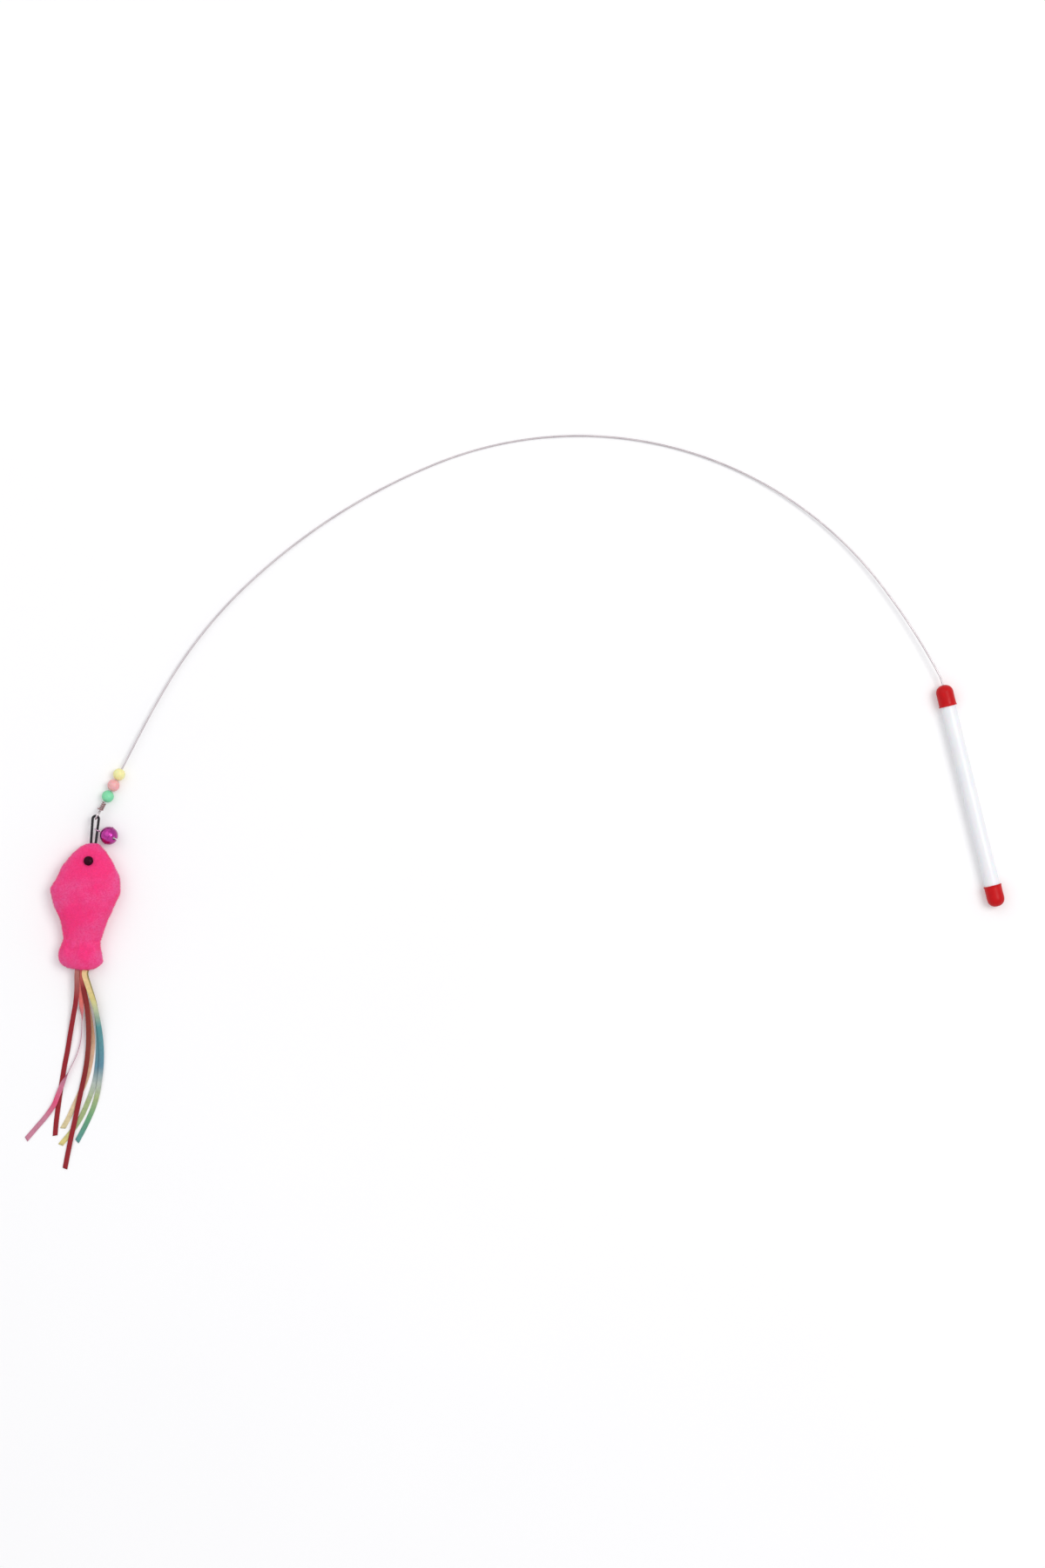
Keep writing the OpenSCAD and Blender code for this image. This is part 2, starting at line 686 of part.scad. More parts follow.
// Bell: two cups along +Z towards the hanger, with a rolled seam between them
module half_cup() {
    difference() {
        union() {
            intersection() {
                sphere(r = bell_r, $fn = round_sides);
                cylinder(r = bell_r + overrun, h = bell_r + overrun, $fn = round_sides);
            }
            cylinder(r = bell_rim_r, h = seam_h, $fn = round_sides);
        }
        sphere(r = bell_inner_r, $fn = round_sides);
    }
}

module bell_upper_cup() {
    color("mediumvioletred")
        at_bell()
            difference() {
                half_cup();
                cylinder(r = hanger_d / 2 + fit_gap, h = bell_r + overrun, $fn = round_sides);
            }
}

module bell_lower_cup() {
    color("mediumvioletred")
        at_bell()
            difference() {
                mirror([0, 0, 1])
                    half_cup();
                for (turn = [0, 90])
                    rotate([0, 0, turn])
                        translate([-bell_r * sin(slot_deg), -slot_w / 2, -bell_r - overrun])
                            cube([2 * bell_r * sin(slot_deg), slot_w, bell_r + overrun]);
                for (turn = [0:90:270])
                    rotate([0, 0, turn])
                        rotate([0, 180 - slot_deg, 0])
                            cylinder(d = slot_hole_d, h = bell_r + overrun, $fn = round_sides);
            }
}

module bell_hanger() {
    color("silver")
        at_bell() {
            translate([0, 0, hang_len])
                rotate([90, 0, 0])
                    rotate_extrude($fn = round_sides)
                        translate([hanger_r, 0])
                            circle(d = hanger_d, $fn = round_sides / 2);
            translate([0, 0, bell_inner_r - head_h])
                cylinder(d = hanger_d, h = hang_len - hanger_r - bell_inner_r + head_h,
                         $fn = round_sides / 2);
            translate([0, 0, bell_inner_r - 2 * head_h])
                cylinder(r = head_r, h = head_h, $fn = round_sides);
        }
}

module bell_pellet() {
    color("silver")
        at_toy()
            translate(bell_centre - [0, 0, pellet_rest])
                sphere(r = pellet_r, $fn = round_sides);
}

// Fish: two plush sides over the stuffing, tail, eyes and the bundle that holds the ribbons

// Pocket for the loop's knot, and the mouth that the loop's legs sweep as the fish nods
module nose_pocket() {
    limit = nod_deg + loop_rise + 1;
    translate([0, -nose_lead, 0]) {
        rotate([0, 90, 0])
            cylinder(r = pocket_r, h = pocket_w, center = true, $fn = round_sides);
        for (i = [0:mouth_cuts - 1])
            rotate([limit * (2 * i / (mouth_cuts - 1) - 1), 0, 0])
                translate([-mouth_w / 2, 0, -mouth_h / 2])
                    cube([mouth_w, nose_lead + 2 * mouth_h, mouth_h]);
    }
}

module fish_upper_panel() {
    color("hotpink")
        at_body()
            difference() {
                plush_panel(1);
                nose_pocket();
            }
}

module fish_lower_panel() {
    color("deeppink")
        at_body()
            difference() {
                plush_panel(-1);
                nose_pocket();
            }
}

module fish_stuffing() {
    inset = plush_t + fit_gap;
    color("snow")
        at_body()
            difference() {
                stuffed_form(body_rows, -inset, body_len - inset, inset);
                nose_pocket();
            }
}

module fish_tail() {
    color("hotpink")
        difference() {
            at_body()
                stuffed_form(tail_rows, -body_len, tail_len, 0);
            at_tail_end()
                translate([tack_x - tack_w / 2 - fit_gap, -fit_gap, tack_z - tack_h / 2 - fit_gap])
                    cube([tack_w + 2 * fit_gap, tack_len + 2 * fit_gap, tack_h + 2 * fit_gap]);
        }
}

module ribbon_tack() {
    color("firebrick")
        at_tail_end()
            translate([tack_x - tack_w / 2, 0, tack_z - tack_h / 2])
                cube([tack_w, tack_len, tack_h]);
}

// Domed bead on the plush, its back square to the surface under it
module fish_eye(up) {
    step = body_len / 20;
    here = fish_z(fish_eye_side, fish_eye_at, up);
    fall = fish_z(fish_eye_side, fish_eye_at + step, up)
        - fish_z(fish_eye_side, fish_eye_at - step, up);
    dome = [for (i = [0:dome_steps]) let (a = 90 * i / dome_steps)
        [fish_eye_d / 2 * cos(a), fish_eye_edge + (fish_eye_h - fish_eye_edge) * sin(a)]];
    color("black")
        at_body()
            translate([fish_eye_side, -fish_eye_at, here])
                rotate([(up > 0 ? 0 : 180) - atan(fall / (2 * step)), 0, 0])
                    translate([0, 0, seat_gap])
                        rotate_extrude($fn = round_sides)
                            polygon(concat([[0, 0], [fish_eye_d / 2 - fish_eye_edge, 0]], dome));
}

module fish_eye_upper() {
    fish_eye(1);
}

module fish_eye_lower() {
    fish_eye(-1);
}

// Ribbons
module ribbon(route, tint) {
    color(tint)
        at_tail_end()
            swept_tube(route, [for (p = route) [0, 0, 1]], ribbon_w / 2, ribbon_t / 2, cord_sides);
}

module ribbon_red_left() {
    ribbon(red_left_route, "brown");
}

module ribbon_pink() {
    ribbon(pink_route, "palevioletred");
}

module ribbon_red_right() {
    ribbon(red_right_route, "brown");
}

module ribbon_cream() {
    ribbon(cream_route, "burlywood");
}

module ribbon_rainbow_right() {
    ribbon(rainbow_right_route, "cadetblue");
}

module ribbon_rainbow_left() {
    ribbon(rainbow_left_route, "darkkhaki");
}

// Least gap between turns of the wrap, measured on its points
wrap_least = min([for (i = [0:wrap_count], j = [0:wrap_count])
    if (j - i > wrap_rings / 2) norm(wrap_path[i] - wrap_path[j])]) - wrap_d;
echo(least_gap_of_the_wrap = wrap_least);

handle_tube();
front_cap();
rear_cap();
wire_plug();
spring_wire();
tip_wrap();
bead_yellow();
bead_pink();
bead_green();
elastic_loop();
bell_upper_cup();
bell_lower_cup();
bell_hanger();
bell_pellet();
fish_upper_panel();
fish_lower_panel();
fish_stuffing();
fish_tail();
fish_eye_upper();
fish_eye_lower();
ribbon_tack();
ribbon_red_left();
ribbon_pink();
ribbon_red_right();
ribbon_cream();
ribbon_rainbow_right();
ribbon_rainbow_left();
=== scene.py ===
"""Looks of a cat teaser wand that lies on a pale floor, seen from straight above.

Lengths in the tables are millimetres in the frame that each comment names; MM turns them into metres.
"""

import math

import bmesh
import bpy
from mathutils import Matrix, Vector, noise


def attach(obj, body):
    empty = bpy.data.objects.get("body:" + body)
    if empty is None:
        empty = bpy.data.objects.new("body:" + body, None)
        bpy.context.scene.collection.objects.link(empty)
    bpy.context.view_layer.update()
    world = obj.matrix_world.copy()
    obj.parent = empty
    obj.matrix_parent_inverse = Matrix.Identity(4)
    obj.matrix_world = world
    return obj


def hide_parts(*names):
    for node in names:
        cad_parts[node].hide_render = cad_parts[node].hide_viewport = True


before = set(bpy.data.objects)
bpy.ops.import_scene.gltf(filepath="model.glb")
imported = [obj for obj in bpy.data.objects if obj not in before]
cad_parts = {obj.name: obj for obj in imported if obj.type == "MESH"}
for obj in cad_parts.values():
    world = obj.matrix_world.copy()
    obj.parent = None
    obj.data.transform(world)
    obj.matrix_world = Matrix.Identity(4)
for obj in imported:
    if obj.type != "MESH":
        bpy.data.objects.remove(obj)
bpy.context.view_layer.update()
MM = 0.001
FLOOR = -6.3


def sin(deg):
    return math.sin(math.radians(deg))


def cos(deg):
    return math.cos(math.radians(deg))


def vec(x, y, z):
    return Vector((x, y, z))


# Places, the same as in the part
WIRE_R = 0.6
WRAP_R = 0.45
BEAD_R = 4.2
ELASTIC_R = 0.9
BELL_R = 6.3
BELL_INSIDE = 5.9
BELL_EDGE = 6.6
BELL_BEARING = 20
TOY_HEADING = -19.5
NOD = 30
BOW = [(25, 14), (438, 10), (262, 74), (418, 21.5), (316, 16), (675, 3.5)]
WIRE_ROOT = 112
WIRE_START = 148.0
SAG_RUN = 0.5
EYE_R = 2.8
LAY_R = 1.2
LAY_RISE = 1.35
BEAD_AT = [29.1, 37.6, 46.1]
LAY_END = 50.6
WRAP_START = 50.95
WRAP_PITCH = 1.35
WRAP_TURNS = 4
WRAP_STOP = WRAP_START + WRAP_TURNS * WRAP_PITCH
EYE_TURN = math.degrees(math.acos(1 - (2 * EYE_R - LAY_RISE) / (EYE_R + LAY_R)))
EYE_START = WRAP_STOP + 0.5 + (EYE_R + LAY_R) * sin(EYE_TURN)
EYE_FAR = EYE_START + EYE_R


def follow_bow(step):
    """Points of the bowed wire in its own plane, and its heading at the end."""
    x, y, heading = 0.0, WIRE_START, 90.0
    points = [vec(x, y, 0)]
    for r, deg in BOW:
        cx, cy = x - r * sin(heading), y + r * cos(heading)
        n = max(4, math.ceil(deg / step))
        for i in range(1, n + 1):
            a = heading + deg * i / n
            points.append(vec(cx + r * sin(a), cy - r * cos(a), 0))
        x, y = points[-1].x, points[-1].y
        heading += deg
    return points, heading


BOW_POINTS, TIP_HEADING = follow_bow(1.0)
TIP = BOW_POINTS[-1]


def turned(deg, axis):
    return Matrix.Rotation(math.radians(deg), 4, axis)


def moved(x, y, z):
    return Matrix.Translation((x, y, z))


def on_tip(u):
    """Point on the straight tip of the wire, in the bow's own plane."""
    return TIP + vec(u * cos(TIP_HEADING), u * sin(TIP_HEADING), 0)


def settle_wire():
    """Dip and sag that lay the top of the arch and the first bead on the floor."""
    top = max(BOW_POINTS, key=lambda p: p.y)
    bead = on_tip(BEAD_AT[0])
    top_run, bead_run = (p.y - WIRE_START + SAG_RUN for p in (top, bead))
    top_drop, bead_drop = -FLOOR - WIRE_R - 0.05, -FLOOR - BEAD_R
    base = top.x * bead_run - bead.x * top_run
    dip = math.degrees(math.asin((bead_drop * top_run - top_drop * bead_run) / base))
    sag = math.degrees(math.asin((top.x * bead_drop - bead.x * top_drop) / base / cos(dip)))
    return dip, sag


WIRE_DIP, WIRE_SAG = settle_wire()
AT_PLANE = (
    turned(-WIRE_DIP, "Y") @ moved(0, WIRE_START + SAG_RUN, 0)
    @ turned(-WIRE_SAG, "X") @ moved(0, SAG_RUN - WIRE_START, 0)
)


def at_tip(u):
    """Frame on the straight tip of the wire, +X along it, +Z up."""
    return AT_PLANE @ moved(*on_tip(u)) @ turned(TIP_HEADING, "Z")


LOOP_R = 2.1
LOOP_LEN = 17.5
LEG_LEAN = 1.6
BELLY = 7.5
BODY_LEN = 68
TAIL_LEN = 21
NOSE_LEAD = 2.6
toy_origin = at_tip(EYE_FAR) @ vec(0, 0, EYE_R)
AT_TOY = moved(*toy_origin) @ turned(TOY_HEADING, "Z")
LOOP_RISE = math.degrees(math.asin((FLOOR + BELLY - toy_origin.z) / LOOP_LEN))
AT_LOOP = AT_TOY @ turned(-LOOP_RISE, "X")
KNOT = vec(0, -LOOP_LEN * cos(LOOP_RISE), LOOP_LEN * sin(LOOP_RISE))
AT_BODY = AT_TOY @ moved(*KNOT + vec(0, NOSE_LEAD, 0))
AT_TAIL_END = AT_BODY @ moved(0, -BODY_LEN - TAIL_LEN, -BELLY)
LEG_LEN = (LOOP_LEN - LOOP_R * sin(LEG_LEAN)) / cos(LEG_LEAN)
LEG_TOP = LOOP_R * cos(LEG_LEAN)
LEG_END = LEG_TOP - LEG_LEN * sin(LEG_LEAN)
BELL_AT = 7.6
HANG_LEN = 8.7
hanger_x = LEG_TOP - (BELL_AT - LOOP_R * sin(LEG_LEAN)) * math.tan(math.radians(LEG_LEAN))
hanger_at = vec(hanger_x, -BELL_AT * cos(LOOP_RISE), BELL_AT * sin(LOOP_RISE))
bell_drop = FLOOR + BELL_EDGE - (toy_origin.z + hanger_at.z)
hang_flat = math.sqrt(HANG_LEN**2 - bell_drop**2)
bell_centre = hanger_at + vec(hang_flat * cos(BELL_BEARING), -hang_flat * sin(BELL_BEARING), bell_drop)
AT_BELL = (
    AT_TOY @ moved(*bell_centre) @ turned(180 - BELL_BEARING, "Z")
    @ Matrix.Rotation(math.acos(-bell_drop / HANG_LEN), 4, "Y")
)


# Meshes
SCENE = bpy.context.scene


def placed(name, data):
    """Object in the scene with this data."""
    obj = bpy.data.objects.new(name, data)
    SCENE.collection.objects.link(obj)
    return obj


def smoothed(obj, smooth=True):
    for poly in obj.data.polygons:
        poly.use_smooth = smooth
    return obj


def new_piece(name, points, faces, uvs=None, smooth=True):
    """Mesh piece from points in millimetres, with its object at the origin."""
    mesh = bpy.data.meshes.new(name)
    mesh.from_pydata([Vector(p) * MM for p in points], [], faces)
    if uvs:
        layer = mesh.uv_layers.new(name="UVMap")
        for poly in mesh.polygons:
            for k, loop in enumerate(poly.loop_indices):
                layer.data[loop].uv = uvs[poly.index][k]
    mesh.validate()
    return smoothed(placed(name, mesh), smooth)


def face_out(obj):
    """Outward normals on every face."""
    bm = bmesh.new()
    bm.from_mesh(obj.data)
    bmesh.ops.remove_doubles(bm, verts=bm.verts, dist=1e-7)
    bmesh.ops.recalc_face_normals(bm, faces=bm.faces)
    bm.to_mesh(obj.data)
    bm.free()
    return obj


def lathe(name, profile, place, sides=64, closed=False):
    """Profile of (radius, height) turned about the Z axis of a frame."""
    points, faces, uvs = [], [], []
    for r, z in profile:
        for j in range(sides):
            a = 360 * j / sides
            points.append(place @ vec(r * cos(a), r * sin(a), z))
    n = len(profile)
    run = [0.0]
    for i in range(1, n + 1):
        a, b = profile[i - 1], profile[i % n]
        run.append(run[-1] + math.hypot(a[0] - b[0], a[1] - b[1]))
    for i in range(n if closed else n - 1):
        k = (i + 1) % n
        if profile[i][0] == 0 and profile[k][0] == 0:
            continue
        for j in range(sides):
            m = (j + 1) % sides
            faces.append((i * sides + j, i * sides + m, k * sides + m, k * sides + j))
            u0, u1 = j / sides, (j + 1) / sides
            uvs.append([(u0, run[i]), (u1, run[i]), (u1, run[i + 1]), (u0, run[i + 1])])
    return face_out(new_piece(name, points, faces, uvs))


def arc(cx, cz, rx, rz, start, end, n):
    """Points of a quarter or other arc in a profile."""
    angles = [start + (end - start) * i / n for i in range(n + 1)]
    return [(cx + rx * cos(a), cz + rz * sin(a)) for a in angles]


def frames_along(path, up):
    """Side, up and ahead vectors along a path, carried forward without twisting."""
    frames = []
    for i in range(len(path)):
        ahead = (path[min(i + 1, len(path) - 1)] - path[max(i - 1, 0)]).normalized()
        up = (up - ahead * up.dot(ahead)).normalized()
        frames.append((ahead.cross(up), up, ahead))
    return frames


def remove(*objects):
    for obj in objects:
        bpy.data.objects.remove(obj)


def joined(name, objects):
    """Several meshes made into one piece."""
    bm = bmesh.new()
    for obj in objects:
        bm.from_mesh(obj.data)
    mesh = bpy.data.meshes.new(name)
    bm.to_mesh(mesh)
    bm.free()
    remove(*objects)
    return smoothed(placed(name, mesh))


def with_values(thing, **values):
    for key, value in values.items():
        setattr(thing, key, value)
    return thing


def modifier(obj, kind, **settings):
    return with_values(obj.modifiers.new(kind.lower(), kind), **settings)


def baked(name, obj):
    """The piece with its modifiers applied, under a new name."""
    graph = bpy.context.evaluated_depsgraph_get()
    made = placed(name, bpy.data.meshes.new_from_object(obj.evaluated_get(graph)))
    remove(obj)
    return made


# Nodes
def node_tree(name, kind, outputs, **inputs):
    """Node group with its sockets, each a name, with _ for a space, and a kind."""
    tree = bpy.data.node_groups.new(name, kind + "NodeTree")
    for way, sockets in (("OUTPUT", outputs), ("INPUT", inputs)):
        for label, socket in sockets.items():
            tree.interface.new_socket(name=label.replace("_", " "), in_out=way, socket_type="NodeSocket" + socket)
    return tree, tree.nodes.new("NodeGroupInput").outputs, tree.nodes.new("NodeGroupOutput")


def put(tree, entry, value):
    """Into an input goes a value, an output, or a node, which stands for its first output in use."""
    if isinstance(value, bpy.types.Node):
        value = next(s for s in value.outputs if s.enabled)
    if isinstance(value, bpy.types.NodeSocket):
        tree.links.new(value, entry)
    else:
        entry.default_value = value


def fill(tree, made, **values):
    """Settings of a node, in small letters, and its inputs, in capitals, with _ for a space."""
    for key, value in values.items():
        if key[0].islower():
            setattr(made, key, value)
        else:
            put(tree, next(s for s in made.inputs if s.name == key.replace("_", " ") and s.enabled), value)
    return made


def node(tree, kind, **values):
    """New node, of the tree's own family where its kind names none."""
    family = "" if "Node" in kind else tree.bl_idname.removesuffix("Tree")
    return fill(tree, tree.nodes.new(family + kind), **values)


def maths(tree, operation, a, b):
    made = node(tree, "ShaderNodeMath", operation=operation)
    put(tree, made.inputs[0], a)
    put(tree, made.inputs[1], b)
    return made


def end_tree(tree, result, shape, material):
    """Real geometry with its material, as the last of a geometry nodes tree."""
    real = node(tree, "RealizeInstances", Geometry=shape)
    fill(tree, result, Geometry=node(tree, "SetMaterial", Geometry=real, Material=material))
    return tree


def grown(name, obj, tree, **values):
    """The piece that a geometry nodes tree makes from a mesh, with the tree's inputs by name."""
    mod = modifier(obj, "NODES", node_group=tree)
    for item in tree.interface.items_tree:
        key = item.name.replace(" ", "_")
        if item.in_out == "INPUT" and key in values:
            mod[item.identifier] = values[key]
    return baked(name, obj)


def tube_tree():
    """Round tube along the lines of a mesh; the UV map has millimetres along it and the share round it."""
    tree, given, result = node_tree(
        "round_tube", "Geometry", {"Geometry": "Geometry"}, Geometry="Geometry", Radius="Float", Sides="Int",
        Material="Material",
    )

    def captured(label, curve, value):
        made = tree.nodes.new("GeometryNodeCaptureAttribute")
        made.capture_items.new("FLOAT", label)
        return fill(tree, made, **{"Geometry": curve, label: value})

    where = node(tree, "SplineParameter")
    line = node(tree, "MeshToCurve", Mesh=given["Geometry"])
    circle = node(tree, "CurvePrimitiveCircle", Radius=given["Radius"], Resolution=given["Sides"])
    along = captured("Along", line, where.outputs["Length"])
    about = captured("About", circle, where.outputs["Factor"])
    swept = node(tree, "CurveToMesh", Curve=along, Profile_Curve=about, Fill_Caps=True)
    in_mm = maths(tree, "DIVIDE", along.outputs["Along"], MM)
    place = node(tree, "ShaderNodeCombineXYZ", X=in_mm, Y=about.outputs["About"])
    store = node(
        tree, "StoreNamedAttribute", data_type="FLOAT2", domain="CORNER", Geometry=swept, Name="UVMap", Value=place
    )
    return end_tree(tree, result, node(tree, "SetShadeSmooth", Geometry=store), given["Material"])


ROUND_TUBE = tube_tree()


def tube(name, lines, radius, sides, material, closed=False):
    """Wire, strand or thread along lines of points in millimetres."""
    points, edges = [], []
    for line in lines:
        first = len(points)
        points += [Vector(p) * MM for p in line]
        last = len(points) - 1
        edges += [(k, k + 1) for k in range(first, last)] + ([(last, first)] if closed else [])
    mesh = bpy.data.meshes.new(name)
    mesh.from_pydata(points, edges, [])
    path = placed(name + "_line", mesh)
    return face_out(grown(name, path, ROUND_TUBE, Radius=radius * MM, Sides=sides, Material=material))


def coat(obj, material):
    obj.data.materials.clear()
    obj.data.materials.append(material)


def finish_piece(obj, body, slot, material, *nodes):
    """Material, body and the CAD nodes that a piece stands for; the slot is not used."""
    coat(obj, material)
    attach(obj, body)
    if nodes:
        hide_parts(*nodes)


# Materials
def coords(tree, kind):
    """Where a surface is, in its object or on its UV map."""
    return node(tree, "TexCoord").outputs[kind]


def mottle_group():
    """Two colours mixed by soft noise in object space."""
    tree, given, result = node_tree(
        "mottle", "Shader", {"Colour": "Color"}, Colour="Color", Second_colour="Color", Scale="Float", Amount="Float"
    )
    blots = node(tree, "TexNoise", Vector=coords(tree, "Object"), Scale=given["Scale"], Detail=4, Roughness=0.55)
    spread = node(tree, "MapRange", Value=blots, From_Min=0.36, From_Max=0.64)
    share = maths(tree, "MULTIPLY", spread, given["Amount"])
    mix = node(tree, "Mix", data_type="RGBA", Factor=share, A=given["Colour"], B=given["Second colour"])
    fill(tree, result, Colour=mix)
    return tree


def grain_group():
    """Fine surface relief and uneven gloss from object space."""
    tree, given, result = node_tree(
        "grain", "Shader", {"Normal": "Vector", "Roughness": "Float"}, Scale="Float", Depth="Float",
        Gloss_low="Float", Gloss_high="Float",
    )
    fine = node(tree, "TexNoise", Vector=coords(tree, "Object"), Scale=given["Scale"], Detail=6)
    wider = maths(tree, "MULTIPLY", given["Scale"], 0.12)
    broad = node(tree, "TexNoise", Vector=coords(tree, "Object"), Scale=wider, Detail=3)
    bump = node(tree, "Bump", Height=fine, Distance=given["Depth"])
    gloss = node(
        tree, "MapRange", Value=broad, From_Min=0.3, From_Max=0.7, To_Min=given["Gloss low"],
        To_Max=given["Gloss high"],
    )
    fill(tree, result, Normal=bump, Roughness=gloss)
    return tree


def lines_group():
    """Fine lines along or across a piece, from its UV map, as relief."""
    tree, given, result = node_tree(
        "drawn_lines", "Shader", {"Normal": "Vector"}, Along="Float", Across="Float", Depth="Float", Normal="Vector"
    )
    parts = node(tree, "SeparateXYZ", Vector=coords(tree, "UV"))
    u = maths(tree, "MULTIPLY", parts.outputs["X"], given["Along"])
    v = maths(tree, "MULTIPLY", parts.outputs["Y"], given["Across"])
    both = node(tree, "CombineXYZ", X=u, Y=v)
    streaks = node(tree, "TexNoise", Vector=both, Scale=1, Detail=3)
    bump = node(tree, "Bump", Height=streaks, Distance=given["Depth"], Normal=given["Normal"])
    fill(tree, result, Normal=bump)
    return tree


MOTTLE = mottle_group()
GRAIN = grain_group()
LINES = lines_group()


def use(tree, group, **values):
    return node(tree, "Group", node_tree=group, **values)


def surface(name, **values):
    """New material with a Principled surface."""
    made = bpy.data.materials.new(name)
    made.use_nodes = True
    tree = made.node_tree
    return made, tree, fill(tree, tree.nodes["Principled BSDF"], **values)


def painted(name, colour, second, scale, amount, grain=None, lines=None, **values):
    """Mottled colour, with grain and uneven gloss, with lines along the piece, or with both."""
    made, tree, shader = surface(name, **values)
    tint = use(tree, MOTTLE, Colour=(*colour, 1), Second_colour=(*second, 1), Scale=scale, Amount=amount)
    fill(tree, shader, Base_Color=tint)
    under = {}
    if grain:
        size, depth, low, high = grain
        relief = use(tree, GRAIN, Scale=size, Depth=depth, Gloss_low=low, Gloss_high=high)
        under = {"Normal": relief}
        fill(tree, shader, Roughness=relief.outputs["Roughness"], Normal=relief)
    if lines:
        along, across, depth = lines
        fill(tree, shader, Normal=use(tree, LINES, Along=along, Across=across, Depth=depth, **under))
    return made


TUBE_PLASTIC = painted(
    "tube_plastic", (0.9, 0.9, 0.92), (0.85, 0.85, 0.89), 60, 0.5, (900, 1e-5, 0.28, 0.42),
    Subsurface_Weight=0.2, Subsurface_Scale=0.002, Coat_Weight=0.15,
)
CAP_PLASTIC = painted(
    "cap_plastic", (0.58, 0.005, 0.008), (0.46, 0.004, 0.007), 220, 0.5, (1400, 3e-5, 0.3, 0.46),
    Specular_IOR_Level=0.16,
)
PLUG_PLASTIC = painted("plug_plastic", (0.78, 0.73, 0.6), (0.7, 0.64, 0.5), 150, 0.5, (900, 2e-5, 0.4, 0.55))
BELL_LACQUER = painted(
    "bell_lacquer", (0.5, 0.02, 0.3), (0.3, 0.008, 0.2), 260, 0.8, (2600, 2e-5, 0.12, 0.28),
    Metallic=0.9, Coat_Weight=0.6, Coat_Roughness=0.08,
)
BRIGHT_WIRE = painted(
    "bright_wire", (0.62, 0.4, 0.56), (0.5, 0.3, 0.44), 500, 0.6, (3000, 2e-5, 0.16, 0.3), Metallic=1
)
PELLET_STEEL = painted(
    "pellet_steel", (0.45, 0.45, 0.47), (0.3, 0.3, 0.32), 500, 0.6, (3000, 3e-5, 0.3, 0.5), Metallic=1
)
EYE_GLOSS = painted(
    "eye_gloss", (0.035, 0.001, 0.01), (0.025, 0.001, 0.007), 300, 0.5, (1500, 1e-5, 0.14, 0.24),
    Specular_IOR_Level=0.06,
)
DIE_MARKS = (0.15, 22, 2e-5)
SPRING_STEEL = painted(
    "spring_steel", (0.55, 0.5, 0.51), (0.44, 0.39, 0.41), 90, 0.7, (2400, 1e-5, 0.26, 0.4), DIE_MARKS,
    Metallic=0.85,
)
# Painted shade: the wound turns are coloured a darker brown than the spring steel, for the shade in the tight coil.
WRAP_PAINTED_SHADE = painted(
    "wrap_enamel", (0.26, 0.12, 0.12), (0.36, 0.2, 0.19), 90, 0.7, (2400, 1e-5, 0.25, 0.4), DIE_MARKS,
    Metallic=0.5,
)
SPUN = {"lines": (1.5, 18, 6e-5), "Roughness": 0.8, "Sheen_Roughness": 0.4}
ELASTIC_FIBRE = painted(
    "elastic_fibre", (0.014, 0.013, 0.016), (0.03, 0.028, 0.034), 1500, 0.8, Sheen_Weight=0.15, **SPUN
)
TACK_THREAD = painted("tack_thread", (0.25, 0.02, 0.05), (0.16, 0.01, 0.03), 1500, 0.8, Sheen_Weight=0.3, **SPUN)


def away_from_painted_light(tree):
    """Share of the paler pink: none on the raised head round the eye and in the middle of the tail, where the bright
    pink is painted light, full elsewhere.
    """
    shares = []
    for spot, size in (((0, -17, 9), 17), ((2, -77, 8), 9)):
        far = node(tree, "VectorMath", operation="DISTANCE", Vector=coords(tree, "Object"))
        far.inputs[1].default_value = (AT_BODY @ Vector(spot)) * MM
        ends = {"From_Min": 0.3 * size * MM, "From_Max": size * MM}
        shares.append(node(tree, "MapRange", interpolation_type="SMOOTHSTEP", Value=far.outputs["Value"], **ends))
    return maths(tree, "MULTIPLY", *shares)


def plush(name, fibre):
    """Short pile: painted light keeps the raised head and the middle of the tail bright and the rest mottled paler;
    painted shade deep in the pile as fine darker blots.
    """
    made, tree, shader = surface(
        name, Roughness=0.85, Sheen_Weight=0.35, Sheen_Roughness=0.5, Sheen_Tint=(1, 0.55, 0.75, 1),
        Subsurface_Weight=0.15, Subsurface_Scale=0.0015,
    )
    # Painted light: bright pink on the raised head and the middle of the tail, mottled paler pink elsewhere.
    broad = use(
        tree, MOTTLE, Colour=(0.98, 0.035, 0.25, 1), Second_colour=(0.88, 0.13, 0.39, 1), Scale=60,
        Amount=away_from_painted_light(tree),
    )
    # Painted shade: fine darker blots for the shade deep in the pile.
    pile_shade = (0.86, 0.03, 0.22, 1)
    fine = use(tree, MOTTLE, Colour=broad, Second_colour=pile_shade, Scale=900, Amount=0.5 if fibre else 0.8)
    fill(tree, shader, Base_Color=fine)
    if not fibre:
        fill(tree, shader, Normal=use(tree, GRAIN, Scale=1500, Depth=0.0002, Gloss_low=0.75, Gloss_high=0.9))
    return made


PLUSH_CLOTH = plush("plush_cloth", False)
PLUSH_PILE = plush("plush_pile", True)
RAMP_LEN = 130


